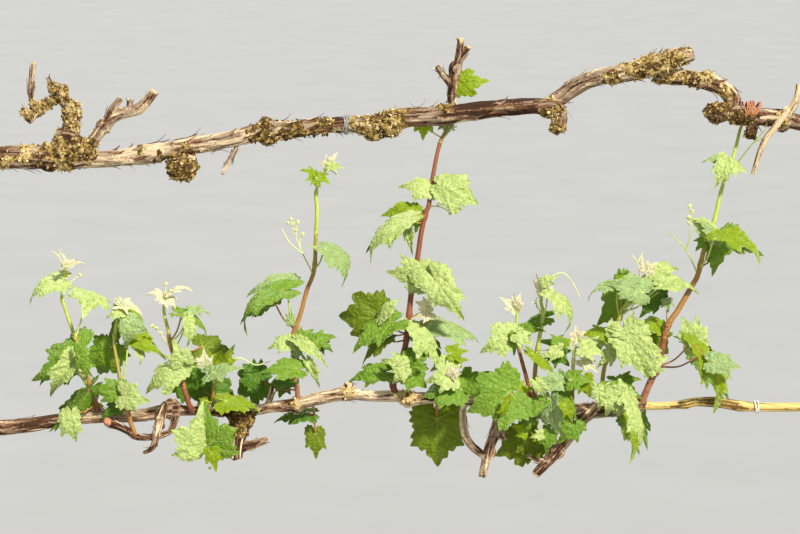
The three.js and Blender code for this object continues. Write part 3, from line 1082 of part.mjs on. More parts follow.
// Whether two solids share any space, asked only where their boxes meet.
function touches(solid, box, other) {
  const apart = [0, 1, 2].some((axis) => {
    return box.min[axis] > other.box.max[axis] || box.max[axis] < other.box.min[axis];
  });
  return !apart && !solid.intersect(other.solid).isEmpty();
}

const shoots = [...SHOOTS, ...RULE_SHOOTS.map(ruleShoot)];
const stems = shoots.map((shoot) => {
  const solid = tube(smoothed(shoot.stem.map(waypoint), 1), 4);
  return { name: shoot.name, solid, box: solid.boundingBox() };
});
const blades = [];

// The leaf of a row at the least nudge toward or away from the viewer that clears the limbs, the
// stems of other shoots and every blade before it, or nothing where no nudge does.
function placedLeaf(row, shoot) {
  const others = stems.filter((stem) => stem.name !== shoot.name);
  for (let attempt = 0; attempt < NUDGE_TRIES; attempt += 1) {
    const size = Math.ceil(attempt / 2) * NUDGE_STEP;
    const frame = bladeFrame(row, attempt % 2 === 1 ? size : -size);
    const stalk = stalkOf(shoot.stem, row, frame);
    const tuck = frame.at.clone().addScaledVector(frame.along, -1);
    const blade = leafSolid(frame, { radius: stalk.radius, places: [tuck] });
    const leaf = leafSolid(frame, stalk);
    const bladeBox = blade.boundingBox();
    const leafBox = leaf.boundingBox();
    const blocked = blades.some((other) => touches(blade, bladeBox, other))
      || placed.some((other) => touches(leaf, leafBox, other))
      || others.some((other) => touches(leaf, leafBox, other));
    if (!blocked) {
      blades.push({ solid: blade, box: bladeBox });
      return leaf;
    }
  }
  return null;
}

// Every shoot in turn: its stem, its stalks and buds, then each leaf that stays in its own space.
shoots.forEach((shoot, order) => {
  let mass = stems[order].solid;
  for (const stalk of shoot.stalks) {
    const stations = stalk.map((row) => waypoint([...row, TENDRIL_RADIUS]));
    mass = mass.add(tube(stations, 3));
  }
  shoot.buds.forEach(([across, down, out], index) => {
    mass = mass.add(knot(sighted(across, down, out), BUD_RADIUS, BUD_RADIUS, 0, 900 + index));
  });
  for (const row of [...shoot.leaves, ...backLeaves(shoot, 700 + order)]) {
    const leaf = placedLeaf(row, shoot);
    if (leaf !== null) {
      mass = mass.add(leaf);
    }
  }
  mass = mass.asOriginal().simplify(LEAF_SMOOTHING);
  for (const other of placed) {
    if (touches(mass, mass.boundingBox(), other)) {
      mass = mass.subtract(other.solid);
    }
  }
  mass = largest(mass);
  addMesh(shoot.name, mass, LEAF, 0.7);
  place(shoot.name, mass);
});

export default group;
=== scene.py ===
# A grapevine in spring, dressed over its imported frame: shaggy bark on the trunk and the two trained
# arms, young shoots, toothed leaves with their veins, tendrils and flower buds.
import math
import bpy
import numpy as np
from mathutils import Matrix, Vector
from mathutils.bvhtree import BVHTree
from mathutils.kdtree import KDTree


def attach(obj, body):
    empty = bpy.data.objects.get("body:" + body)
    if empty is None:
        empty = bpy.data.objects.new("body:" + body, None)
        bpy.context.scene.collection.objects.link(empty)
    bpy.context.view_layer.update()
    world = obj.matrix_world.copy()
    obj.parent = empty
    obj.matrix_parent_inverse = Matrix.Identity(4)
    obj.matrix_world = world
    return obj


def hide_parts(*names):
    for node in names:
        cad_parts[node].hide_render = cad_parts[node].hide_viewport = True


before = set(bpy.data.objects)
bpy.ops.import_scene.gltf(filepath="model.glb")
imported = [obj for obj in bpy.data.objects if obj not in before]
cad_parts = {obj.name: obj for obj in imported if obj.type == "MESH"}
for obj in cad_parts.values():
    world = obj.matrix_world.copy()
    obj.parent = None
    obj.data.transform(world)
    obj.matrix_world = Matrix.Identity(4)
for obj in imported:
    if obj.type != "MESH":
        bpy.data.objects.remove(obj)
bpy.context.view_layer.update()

# Rows of places are millimetres across and down the vine's face and out toward the viewer.
MM = 0.001
TRUNK_HEIGHT = 1.168
TRUNK_FOOT_RADIUS = 0.044
TRUNK_WAIST_RADIUS = 0.021
FACE_LEFT_X = 0.150
FACE_MIDDLE_Z = 1.083
FACE_WIDTH = 0.800
FACE_HEIGHT = 0.534
EYE_DISTANCE = 3.0
EYE_FALL = math.radians(9)
STALK_RADIUS = 0.95 * MM
STALK_SAG = 0.08
TENDRIL_RADIUS = 0.75 * MM
BUD_RADIUS = 1.5 * MM
NUDGE_STEP = 5
NUDGE_TRIES = 17
BACK_LEAF_SIZE = 45
BACK_LEAF_OUT = 8
BACK_SHIFT = 30
BACK_SHIFT_SPREAD = 22
BACK_LEAN = 14
BACK_START = 0.22
BACK_END = 0.86
BACK_TILT = 30
BACK_WIDTH = 0.55
REAR_LOBE_DEGREES = 60
REAR_LOBE_SPAN = 44
EDGE_DROP = 0.1
LOBE_FORWARD = 0.587
LOBE_SIDEWAYS = 0.629
LEAF_THICKNESS = 0.28 * MM
LEAF_TRIANGLES = 6000
PIECE_TRIANGLES = 190000
LARGE_BLADE = 44 * MM
MIDDLING_BLADE = 27 * MM
WORD = 0xFFFFFFFF
DRAWS = 4294967296
SHARP_EDGE = math.radians(75)

VIEWER = np.array([0.0, -1.0, 0.0])
SKY = np.array([0.0, 0.0, 1.0])
RIGHT = np.array([1.0, 0.0, 0.0])

# Each limb has its paths, as rows of across, down, out and radius, and its knots, as rows of across,
# down, out, half width and half height.
LIMBS = [
  {
    "name": "upper_arm_1",
    "paths": [[[-152, 188, 0, 17], [-118, 174, 0, 15], [-80, 166, 0, 12.5], [-38, 160, 0, 11.5],
      [0, 157, 0, 11], [30, 157, 0, 12], [60, 158, 0, 12], [93, 159, 0, 8.5]]],
    "knots": [[48, 156, 2, 14, 13], [66, 150, 3, 17, 22], [80, 152, 2, 12, 16], [70, 134, 2, 9, 12]],
  },
  {
    "name": "upper_arm_2",
    "paths": [[[93, 159, 0, 8.5], [120, 158, 0, 8], [146, 154, 0, 10], [181, 147, 0, 8],
      [215, 142, 0, 8.5], [243, 136, 0, 8.5]]],
    "knots": [],
  },
  {
    "name": "upper_arm_3",
    "paths": [[[243, 136, 0, 8.5], [266, 131, 0, 9], [295, 129, 0, 8], [320, 126, 0, 7.5],
      [346, 124, 0, 8], [372, 125, 0, 9], [400, 118, 0, 10]]],
    "knots": [[266, 131, 2, 11, 13], [376, 130, 2, 11, 11], [388, 126, 3, 10, 12]],
  },
  {
    "name": "upper_arm_4",
    "paths": [[[400, 118, 0, 10], [424, 117, 0, 10], [450, 115, 0, 10], [489, 109, 0, 8.5],
      [516, 107, 0, 8], [540, 106, 0, 8], [555, 108, 1, 7.5], [561, 118, 2, 7], [553, 133, 2, 5]]],
    "knots": [[549, 109, 1, 10, 8]],
  },
  {
    "name": "upper_arm_5",
    "paths": [[[549, 104, -8, 7], [560, 98, -12, 8], [577, 86, -12, 8], [596, 78, -10, 7.5],
      [623, 73, -8, 9], [650, 66, -6, 10], [670, 60, -4, 9], [693, 53, -2, 7.5]]],
    "knots": [[636, 70, -6, 9, 9], [660, 64, -4, 10, 9]],
  },
  {
    "name": "upper_arm_6",
    "paths": [[[655, 76, -12, 7], [677, 77, -14, 8], [700, 80, -14, 8], [722, 88, -14, 8],
      [733, 100, -12, 8], [730, 112, -6, 9], [747, 116, -2, 9], [766, 117, 0, 9], [785, 119, 0, 8.5],
      [800, 123, 0, 7.5], [842, 128, 0, 7.5], [898, 125, 0, 6.5], [934, 121, 0, 5]]],
    "knots": [[717, 112, -4, 14, 9], [752, 130, 0, 6, 11], [702, 78, -12, 10, 8], [782, 122, 2, 9, 9]],
  },
  {
    "name": "lower_arm_1",
    "paths": [[[-154, 444, 0, 11], [-100, 436, 0, 9.5], [-50, 431, 0, 8.5], [20, 426, 0, 7.5],
      [60, 420, 0, 7], [100, 416, 0, 7], [140, 415, 0, 6.5], [172, 410, 0, 8]]],
    "knots": [[172, 409, 0, 11, 11]],
  },
  {
    "name": "lower_arm_2",
    "paths": [[[172, 410, 0, 6], [200, 411, 0, 4.4], [226, 411, 0, 4.4], [257, 410, 0, 5],
      [270, 407, 0, 5.4], [296, 405, 0, 7]]],
    "knots": [[296, 405, 0, 8, 9]],
  },
  {
    "name": "lower_arm_3",
    "paths": [[[296, 405, 0, 6.5], [312, 400, 0, 6.5], [331, 396, 0, 6], [348, 394, 0, 6.5],
      [372, 396, 0, 5.5], [398, 396, 0, 6], [407, 399, 0, 7], [432, 398, 0, 5.5], [458, 400, 0, 5],
      [500, 405, 0, 6.5]], [[348, 393, 0, 5], [349, 383, 1, 3]]],
    "knots": [[407, 399, 1, 9, 8]],
  },
  {
    "name": "lower_arm_4",
    "paths": [[[500, 405, 0, 6.5], [520, 411, 0, 7], [550, 412, 0, 7], [590, 410, 0, 7],
      [620, 407, 0, 6.5], [643, 405, 0, 6.5]]],
    "knots": [[640, 403, 0, 8, 8]],
  },
  {
    "name": "lower_cane",
    "paths": [[[640, 405, 0, 5], [656, 406, 0, 3.9], [676, 405, 0, 4], [686, 404, 0, 5.2],
      [695, 402, 0, 4.6], [713, 402, 0, 5.4], [728, 404, 0, 5.2], [741, 406, 0, 5.8],
      [757, 407, 0, 4.6], [800, 407, 0, 4.5], [860, 404, 0, 4.2], [930, 398, 0, 3.8],
      [980, 395, 0, 3]]],
    "knots": [],
  },
  {
    "name": "front_branch",
    "paths": [[[170, 432, 8, 3], [155, 437, 12, 3.2], [137, 437, 13, 3.4], [128, 431, 14, 3.8],
      [118, 426, 14, 4], [109, 423, 14, 4.2]], [[170, 432, 8, 3], [174, 424, 4, 3.4],
      [176, 410, 0, 4]]],
    "knots": [[109, 422, 14, 5, 5]],
  },
  {
    "name": "old_spur_1",
    "paths": [[[69, 140, 2, 8], [72, 122, 2, 7.5], [71, 109, 2, 7], [74, 101, 2, 6]],
      [[71, 108, 2, 6], [57, 92, 1, 5.5], [50, 84, 0, 2]], [[66, 98, 2, 2.5], [54, 86, 2, 2],
      [46, 77, 2, 1.4]], [[60, 98, 0, 4], [46, 104, -2, 5], [36, 112, -3, 5], [27, 121, -3, 4]],
      [[34, 114, -3, 4], [21, 110, -4, 3.6]], [[34, 112, -3, 3], [31, 98, -3, 2.6],
      [31, 85, -3, 3.4], [34, 62, -3, 2.6]]],
    "knots": [[72, 112, 2, 9, 10], [62, 92, 1, 8, 8]],
  },
  {
    "name": "old_spur_2",
    "paths": [[[92, 143, 2, 6], [106, 124, 3, 6], [120, 114, 4, 6], [138, 109, 5, 5.5],
      [146, 102, 5, 5], [155, 91, 5, 4]], [[107, 122, 3, 4.5], [113, 108, 3, 4], [121, 98, 3, 3]],
      [[128, 110, 4, 2.5], [131, 99, 4, 1.6]]],
    "knots": [[104, 126, 3, 8, 7]],
  },
  {
    "name": "hanging_knob",
    "paths": [[[180, 150, 0, 6], [181, 160, 2, 7]]],
    "knots": [[181, 166, 3, 16, 12]],
  },
  {
    "name": "thin_spur",
    "paths": [[[238, 143, 0, 2.6], [230, 160, 2, 2], [222, 174, 2, 1.6]]],
    "knots": [],
  },
  {
    "name": "top_spur",
    "paths": [[[452, 110, -4, 5], [452, 96, -6, 5], [454, 80, -5, 5], [459, 60, -4, 4.4],
      [461, 38, -4, 3]], [[451, 86, -5, 3.5], [437, 66, -4, 2]], [[459, 62, -4, 3.4],
      [469, 46, -4, 3]]],
    "knots": [[455, 70, -4, 6, 8]],
  },
  {
    "name": "dead_cane",
    "paths": [[[790, 112, 9, 4], [797, 98, 8, 3.4], [799, 84, 6, 3]], [[788, 112, 9, 3.6],
      [779, 122, 11, 3.4], [763, 144, 12, 3], [753, 174, 12, 2.3]]],
    "knots": [[789, 112, 8, 6, 6]],
  },
  {
    "name": "lower_knob",
    "paths": [[[242, 408, 0, 6], [240, 425, 1, 9], [238, 440, 2, 7], [236, 458, 2, 6]],
      [[241, 446, 2, 6], [255, 444, 2, 4], [268, 438, 2, 1.6]]],
    "knots": [[242, 419, 1, 12, 11], [234, 452, 2, 8, 8]],
  },
  {
    "name": "brown_spur",
    "paths": [[[268, 404, 0, 3], [272, 392, 1, 2.4], [273, 386, 1, 1.4]]],
    "knots": [],
  },
  {
    "name": "bark_flake",
    "paths": [[[166, 402, 10, 3.4], [160, 420, 12, 5], [157, 432, 17, 4], [153, 447, 18, 3],
      [143, 453, 18, 1.6]]],
    "knots": [[160, 424, 13, 5, 9]],
  },
  {
    "name": "stub_a",
    "paths": [[[463, 402, 0, 3.6], [463, 422, 1, 4], [466, 437, 3, 4.2], [474, 448, 3, 4],
      [485, 457, 4, 3.4]]],
    "knots": [],
  },
  {
    "name": "stub_b",
    "paths": [[[501, 406, 0, 5], [496, 430, 3, 6], [489, 449, 4, 5], [482, 477, 6, 3.8]],
      [[499, 420, 3, 4], [502, 432, 5, 3.6], [505, 440, 6, 3.2]]],
    "knots": [[490, 452, 4, 6, 8]],
  },
  {
    "name": "stub_c",
    "paths": [[[597, 404, 4, 5], [588, 414, 4, 5.4], [572, 433, 2, 6], [552, 456, 0, 6.5],
      [535, 475, 0, 4.2]], [[552, 454, 0, 4], [543, 462, 1, 3], [527, 455, 2, 1.4]],
      [[588, 417, 4, 2.6], [622, 414, 5, 1.4]]],
    "knots": [[556, 451, 0, 8, 8], [585, 416, 4, 7, 6]],
  },
]

# Each shoot has its stem, its tendrils and flower stalks, its buds and its leaves. A leaf row is its
# tone or those of its two halves, the height down the stem where its stalk leaves, the place where
# stalk and blade meet, the place of its tip, then the angles it faces up and to the side, its relative
# width, the angle its halves fold and the angle its midrib droops through. Where a leaf's side lobes
# can be told, their two places follow the tip instead, with how far each comes forward, then the
# droop and how large its rear lobes are.
SHOOTS = [
  {
    "name": "shoot_a",
    "stem": [[99, 414, 0, 2.4], [96, 403, 4, 2.3], [92, 392, 8, 2.2], [88, 378, 9, 2.1],
      [80, 352, 7, 2], [71, 326, 6, 1.9], [65, 308, 5, 1.8], [62, 297, 5, 1.7], [64, 283, 5, 1.4],
      [65, 269, 5, 1.1]],
    "stalks": [[[65, 269, 5], [59, 257, 6], [52, 251, 7]], [[59, 258, 6], [60, 249, 7]],
      [[63, 297, 5], [69, 284, 8], [80, 275, 9]]],
    "buds": [[80, 275, 9]],
    "leaves": [
      ["pale", 298, [60, 281, 12], [25, 294, 24], [38, 298, 0.8], [36, 276, -0.8], 30],
      ["pale", 338, [88, 292, 0], [86, 305, 34], [110, 308, -0.3], [68, 294, -0.6], 20],
      ["mid", 372, [80, 352, 16], [33, 382, 30], [46, 350, -0.6], [62, 386, -0.5], 20],
      ["pale", 378, [76, 360, 26], [48, 396, 32], [44, 376, 0.4], [66, 384, 0.4], 10],
      ["pale", 376, [80, 362, 24], [86, 388, 30], [74, 372, 0.3], [92, 376, 0.3], 10],
      ["mid", 380, [78, 356, 20], [94, 366, 22], [88, 349, 0], [92, 378, 0], 5],
      ["mid", 396, [88, 391, 22], [50, 432, 34], [62, 411, -0.5], [70, 430, -0.5], 20],
      ["pale", 404, [72, 414, 26], [75, 440, 32], [60, 436, 0], [82, 432, 0], 10],
      ["backlit", 409, [96, 404, -9], [86, 413, -15], 10, 0, 1.0, 0, 0],
      ["woolly", 271, [66, 267, 8], [83, 261, 13], 62, 0, 0.7, 20, 10],
      ["woolly", 270, [65, 266, 4], [65, 255, 8], 20, 40, 0.8, 30, 10],
    ],
  },
  {
    "name": "shoot_b",
    "stem": [[136, 436, 13, 2.3], [131, 424, 15, 2.3], [128, 412, 16, 2.2], [122, 395, 16, 2.1],
      [121, 386, 14, 2], [117, 362, 10, 1.8], [114, 342, 8, 1.6], [117, 322, 8, 1.4],
      [121, 309, 8, 1.2]],
    "stalks": [],
    "buds": [],
    "leaves": [
      ["woolly", 311, [121, 306, 10], [141, 309, 16], [131, 298, -0.8], [128, 311, 0.8], 20],
      ["backlit", 312, [122, 309, 6], [145, 319, 2], [136, 309, -0.8], [134, 316, 0.5], 20],
      ["pale", 313, [122, 312, 12], [106, 316, 16], [110, 309, -0.5], [113, 320, 0.5], 20],
      ["silver", 326, [124, 319, 18], [126, 348, 24], [119, 335, 0.2], [147, 333, 0], 20, 0.6],
      ["olive", 340, [118, 328, -4], [110, 350, -8], 15, -40, 0.6, 10, 10],
      ["mid", 356, [110, 350, 0], [96, 376, -4], 20, 0, 1.0, 6, 10],
      ["mid", 396, [119, 391, 22], [93, 389, 28], [106, 378, -0.1], [102, 403, 0.2], 10],
      ["deep", 402, [122, 398, 12], [102, 418, 18], [106, 403, 0], [119, 417, 0.2], 10],
      ["pale", 392, [125, 396, 24], [147, 402, 28], [137, 384, -0.1], [134, 413, 0.2], 10],
      ["backlit", 386, [130, 344, 8], [167, 353, 6], [152, 334, -0.6], [148, 351, 0.4], 15, 0.5],
      ["pale", 386, [137, 349, 12], [141, 365, 18], 20, 50, 0.7, 10, 60],
    ],
  },
  {
    "name": "shoot_c",
    "stem": [[193, 412, 3, 2.7], [190, 407, 8, 2.6], [186, 395, 10, 2.5], [181, 380, 11, 2.4],
      [176, 362, 11, 2.2], [170, 343, 10, 2], [168, 330, 10, 1.8], [164, 312, 9, 1.6],
      [165, 298, 8, 1.3]],
    "stalks": [[[169, 346, 10], [163, 337, 12], [154, 327, 14]], [[165, 300, 8], [166, 286, 8]]],
    "buds": [[152, 326, 14], [157, 328, 14], [161, 333, 13], [166, 284, 8]],
    "leaves": [
      ["woolly", 302, [164, 298, 9], [148, 291, 14], 62, 0, 1.0, 0, 30],
      ["woolly", 302, [166, 299, 9], [177, 306, 13], 56, 0, 1.1, 0, 30],
      ["woolly", 300, [170, 292, 8], [188, 284, 10], 72, 0, 0.6, 0, 10],
      ["mid", 342, [184, 315, 12], [213, 330, 18], [197, 314, -0.8], [192, 324, 0.8], 30, 0.9],
      ["pale", 342, [188, 321, 22], [191, 345, 24], 0, 40, 0.5, 20, 0],
      ["silver", 352, [191, 310, 2], [209, 311, 2], 60, 0, 0.7, 0, 10],
      ["olive", 352, [203, 347, -20], [235, 350, -28], 42, 0, 0.8, 0, 20],
      ["pale", 366, [181, 364, 24], [143, 386, 34], [152, 367, -0.5], [164, 396, 0.3], 15, 0.7],
      ["pale", 366, [183, 360, 20], [174, 342, 22], [190, 347, -0.3], [164, 356, 0.3], 5],
      ["woolly", 366, [205, 364, 14], [204, 351, 18], 20, 0, 1.0, 10, 0],
      ["backlit", 368, [212, 363, 6], [220, 352, 8], 10, 0, 1.0, 0, 0],
      ["deep", 378, [184, 378, -6], [206, 400, -14], 20, 0, 0.9, 0, 10],
    ],
  },
  {
    "name": "shoot_d",
    "stem": [[213, 409, 0, 1.8], [213, 398, 2, 1.7], [214, 386, 4, 1.5], [217, 376, 5, 1.2]],
    "stalks": [[[216, 378, 5], [228, 364, 4], [240, 358, 0], [256, 365, -2], [270, 361, -4]]],
    "buds": [],
    "leaves": [
      ["backlit", 382, [224, 364, 8], [233, 347, 8], 10, 0, 0.8, 0, 0],
      ["silver", 384, [213, 372, 14], [241, 366, 18], [227, 361, -0.3], [225, 378, 0.4], 10],
      ["pale", 384, [221, 374, 16], [207, 367, 20], 25, 0, 1.0, 6, 0],
      ["deep", 392, [212, 388, -22], [238, 400, -28], 20, 0, 0.9, 0, 10],
      ["deep", 396, [205, 392, -12], [222, 404, -18], 25, 0, 0.9, 0, 10],
      ["backlit", 400, [227, 401, 14], [262, 404, 12], 70, 0, 0.8, 0, 15],
      ["backlit", 402, [206, 401, 8], [197, 405, 10], 10, 0, 0.9, 0, 0],
    ],
  },
  {
    "name": "leaf_d_front",
    "stem": [[201, 410, 3, 1.5], [202, 416, 10, 1.4], [206, 432, 14, 1.2], [209, 448, 18, 1.1]],
    "stalks": [],
    "buds": [[210, 468, 20], [216, 470, 20]],
    "leaves": [
      # Two tones on one leaf: one half is painted in sun (pale), the other in shade (mid).
      ["pale mid", 446, [206, 446, 24], [203, 409, 30], 8, 0, 1.35, 18, 0],
      ["backlit", 447, [212, 452, 27], [216, 471, 27], 0, 0, 0.8, 0, 0],
    ],
  },
  {
    "name": "shoot_e",
    "stem": [[298, 400, 0, 2.6], [297, 389, 3, 2.5], [295, 378, 5, 2.4], [294, 362, 6, 2.4],
      [293, 337, 6, 2.4], [296, 327, 6, 2.3], [301, 312, 5, 2.2], [307, 290, 4, 2.2],
      [314, 270, 4, 2.2], [316, 235, 4, 2], [317, 210, 4, 2], [316, 194, 4, 1.8], [319, 182, 4, 1.3],
      [328, 166, 4, 1]],
    "stalks": [[[312, 272, 4], [302, 252, 8], [294, 232, 10], [291, 221, 10]], [[303, 254, 8],
      [290, 243, 9], [282, 229, 9]], [[300, 248, 8], [300, 240, 9], [303, 235, 10]], [[296, 236, 10],
      [297, 228, 11], [298, 223, 11]], [[329, 168, 4], [338, 176, 5]], [[325, 172, 4], [322, 163, 4]]],
    "buds": [[291, 219, 10], [288, 223, 10], [293, 224, 11], [303, 234, 10], [298, 222, 11],
      [296, 230, 11]],
    "leaves": [
      ["backlit", 190, [315, 177, 3], [303, 168, 8], 56, 0, 1.15, 0, 30],
      ["backlit", 188, [317, 178, 5], [330, 182, 10], 50, 0, 1.2, 0, 30],
      ["woolly", 168, [328, 165, 4], [336, 154, 6], 10, 0, 0.9, 10, 0],
      ["pale", 168, [330, 166, 6], [343, 167, 8], 40, 0, 0.7, 0, 0],
      ["silver", 330, [285, 288, 10], [247, 287, 20], [269, 271, -0.5], [263, 295, 0.6], 30],
      ["mid", 330, [281, 291, 18], [231, 321, 34], [257, 293, -0.6], [252, 315, 0.6], 50, 0.9],
      ["silver", 270, [326, 250, 12], [353, 284, 24], [352, 262, -0.7], [330, 268, 0.7], 60, 0.8],
      ["silver", 328, [291, 322, 8], [290, 308, 8], 0, 0, 0.6, 0, 0],
      ["pale", 344, [290, 343, 12], [268, 346, 16], [276, 335, -0.4], [279, 352, 0.5], 15],
      ["pale", 346, [299, 342, 16], [330, 365, 24], [319, 345, -0.2], [306, 354, 0.3], 20, 0.6],
      ["silver", 352, [297, 350, 16], [297, 362, 18], 10, 0, 0.9, 0, 0],
      ["pale", 360, [308, 362, 12], [319, 386, 18], [320, 372, 0.2], [306, 370, 0.2], 10, 0.6],
      ["mid", 372, [297, 369, 18], [262, 369, 28], [279, 357, -0.5], [278, 379, 0.6], 20, 0.8],
      ["deep", 386, [290, 378, 4], [266, 383, 2], [276, 376, -0.6], [276, 389, 0.3], 5],
      ["mid", 338, [299, 339, -4], [313, 329, -8], 20, 0, 0.9, 0, 0],
      ["mid", 346, [316, 341, -10], [335, 334, -14], 40, 0, 0.9, 0, 10],
      ["deep", 350, [319, 343, -16], [334, 351, -18], 30, 0, 0.8, 0, 0],
      ["deep", 386, [284, 384, -8], [279, 398, -10], 10, 0, 1.0, 0, 0],
      ["deep", 390, [258, 381, -16], [234, 394, -24], 16, 0, 1.1, 0, 10],
      ["deep", 390, [259, 379, -14], [243, 364, -20], 16, 0, 1.1, 0, 0],
    ],
  },
  {
    "name": "leaf_hang_e",
    "stem": [[312, 402, -2, 1.5], [314, 412, -12, 1.3], [315, 430, -18, 1.1]],
    "stalks": [],
    "buds": [],
    "leaves": [
      ["olive", 428, [315, 434, -20], [316, 458, -18], [305, 447, 0], [326, 449, 0], 5],
      ["deep", 414, [306, 413, -16], [274, 415, -18], [290, 408, -0.5], [290, 422, 0.5], 5],
    ],
  },
  {
    "name": "shoot_f",
    "stem": [[396, 393, 2, 3.2], [393, 384, 3, 3.1], [399, 368, 5, 3], [405, 347, 6, 3],
      [408, 328, 6, 2.9], [411, 296, 4, 2.8], [418, 255, 2, 2.6], [421, 234, 1, 2.5],
      [426, 212, 0, 2.5], [429, 204, 0, 2.4], [434, 170, -6, 2.2], [440, 143, -12, 1.9],
      [447, 128, -17, 1.6], [451, 110, -22, 1.5], [454, 92, -22, 1.4], [455, 86, -20, 1.2]],
    "stalks": [[[429, 207, 0], [440, 205, 4], [451, 202, 5]], [[434, 206, 3], [443, 208, 5],
      [450, 213, 6]], [[437, 205, 4], [442, 199, 5], [444, 195, 5]], [[441, 142, -12],
      [449, 132, -14], [457, 126, -16]]],
    "buds": [[451, 202, 5], [450, 213, 6], [444, 194, 5], [446, 198, 5]],
    "leaves": [
      ["backlit", 92, [457, 84, -18], [487, 80, -14], 14, 0, 0.75, 0, 10],
      ["backlit", 138, [424, 123, -20], [423, 139, -18], 0, 0, 1.1, 0, 0],
      ["silver", 140, [447, 123, -24], [446, 136, -24], 0, 0, 1.1, 0, 0],
      ["pale", 192, [440, 185, 6], [478, 201, 14], [471, 178, -0.5], [458, 215, 0.4], 25, 0.6],
      ["pale", 194, [431, 187, 6], [400, 182, 12], [414, 176, -0.5], [412, 198, 0.5], 25, 0.8],
      ["backlit", 214, [412, 212, 6], [381, 212, 2], [396, 201, -0.5], [396, 224, 0.5], 10, 0.8],
      ["pale", 216, [411, 217, 12], [359, 250, 20], [378, 227, -0.5], [386, 243, 0.5], 30, 0.5],
      ["pale", 222, [406, 222, 14], [412, 254, 18], [404, 241, 0.3], [415, 239, 0.3], 5, 0.6],
      ["mid", 214, [417, 214, 4], [417, 232, 4], 0, 20, 0.7, 0, 0],
      ["pale", 286, [436, 281, 22], [463, 319, 34], [466, 298, 0.1], [434, 307, 0.1], 16, 1.3],
      ["pale", 286, [430, 280, 18], [389, 273, 24], [399, 255, 0.1], [406, 293, 0.1], 16],
      ["woolly", 318, [427, 306, 10], [416, 302, 12], 10, 0, 1.0, 0, 0],
      ["woolly", 320, [430, 313, 10], [414, 318, 12], 30, 0, 0.8, 0, 20],
      ["olive", 330, [378, 318, 2], [338, 317, -4], [352, 291, -0.3], [350, 338, 0.3], 10],
      ["mid", 334, [390, 324, 16], [351, 347, 22], [362, 325, -0.5], [376, 344, 0.5], 20],
      ["olive", 340, [384, 340, 8], [358, 361, 8], [366, 344, -0.3], [374, 356, 0.2], 5],
      ["pale", 336, [380, 319, 10], [396, 296, 14], [386, 300, -0.5], [394, 309, 0.4], 5, 0.7],
      ["mid", 380, [383, 372, 6], [347, 377, 8], [362, 363, -0.4], [364, 384, 0.3], 10],
      ["pale", 368, [404, 367, 24], [384, 360, 28], [392, 350, -0.3], [391, 372, 0.4], 10],
      ["pale", 372, [404, 370, 26], [393, 384, 28], [390, 371, 0.2], [404, 384, 0.2], 5],
      ["mid", 370, [406, 365, 18], [429, 353, 24], [411, 346, -0.3], [428, 367, 0.3], 10],
      ["backlit", 372, [402, 369, 26], [407, 385, 28], 0, 0, 0.9, 0, 0],
      ["pale", 334, [412, 326, 12], [449, 366, 18], [442, 343, -0.3], [425, 352, 0.5], 10, 0.6],
      ["silver", 330, [432, 320, -6], [481, 334, -8], [457, 321, -0.8], [465, 345, 0.4], 20, 0.8],
      ["mid", 374, [408, 371, 14], [426, 386, 16], 20, 0, 1.0, 8, 0],
    ],
  },
  {
    "name": "shoot_f_side",
    "stem": [[449, 402, 0, 2.2], [450, 392, 4, 2], [451, 382, 6, 1.8], [449, 372, 7, 1.4],
      [450, 362, 7, 1.1]],
    "stalks": [],
    "buds": [],
    "leaves": [
      ["pale", 378, [451, 376, 16], [428, 379, 22], 28, 0, 1.05, 6, 15],
      ["mid", 390, [455, 389, 10], [420, 391, 14], 52, 0, 0.9, 0, 15],
      ["mid", 388, [462, 389, 2], [489, 371, 2], 28, 0, 0.85, 6, 10],
      ["backlit", 364, [451, 353, 8], [467, 350, 8], 20, 0, 0.9, 0, 0],
      ["backlit", 366, [452, 361, 4], [468, 359, 4], 20, 0, 0.8, 0, 0],
      ["woolly", 376, [452, 375, 10], [459, 365, 12], 20, 0, 0.9, 10, 0],
      ["pale", 366, [445, 362, 12], [431, 370, 14], 20, 0, 0.9, 6, 0],
    ],
  },
  {
    "name": "leaf_hang_f",
    "stem": [[436, 398, -3, 1.7], [437, 406, -14, 1.5], [437, 414, -20, 1.2]],
    "stalks": [],
    "buds": [],
    "leaves": [
      ["olive", 412, [437, 419, -22], [438, 467, -16], 4, 0, 0.85, 8, 10],
      ["deep", 404, [432, 409, -24], [421, 416, -26], 10, 0, 1.0, 0, 0],
    ],
  },
  {
    "name": "shoot_g",
    "stem": [[531, 409, 2, 2.3], [529, 392, 6, 2.2], [527, 380, 7, 2.1], [520, 354, 8, 1.9],
      [516, 334, 8, 1.6], [517, 318, 8, 1.3], [517, 309, 8, 1.1]],
    "stalks": [],
    "buds": [],
    "leaves": [
      ["mid", 396, [511, 393, 28], [470, 411, 36], 10, 0, 1.1, 8, 12],
      ["backlit", 397, [518, 391, 22], [532, 388, 20], 14, 0, 1.1, 0, 0],
      ["pale", 336, [514, 333, 14], [482, 351, 24], [489, 326, -0.4], [500, 359, 0.3], 20, 0.5],
      ["mid", 334, [516, 331, 4], [543, 328, 10], [532, 321, -0.3], [530, 338, 0.3], 15],
      ["mid", 338, [514, 335, 20], [514, 355, 22], [508, 346, 0], [523, 348, 0], 10, 0.8],
      ["pale", 338, [518, 335, 14], [533, 345, 16], 20, 0, 0.9, 0, 0],
      ["woolly", 314, [515, 307, 8], [502, 298, 12], [513, 296, -0.3], [504, 309, 0.3], 10],
      ["woolly", 312, [518, 307, 6], [520, 295, 8], [513, 293, 0], [524, 303, 0.2], 10],
      ["backlit", 399, [507, 402, 32], [502, 422, 33], 0, 55, 0.6, 0, 0],
    ],
  },
  {
    "name": "shoot_h",
    "stem": [[537, 408, -2, 2.5], [535, 398, -3, 2.4], [534, 384, -3, 2.3], [538, 346, -4, 2.2],
      [543, 316, -3, 2], [541, 302, -2, 1.6], [542, 292, 0, 1.2]],
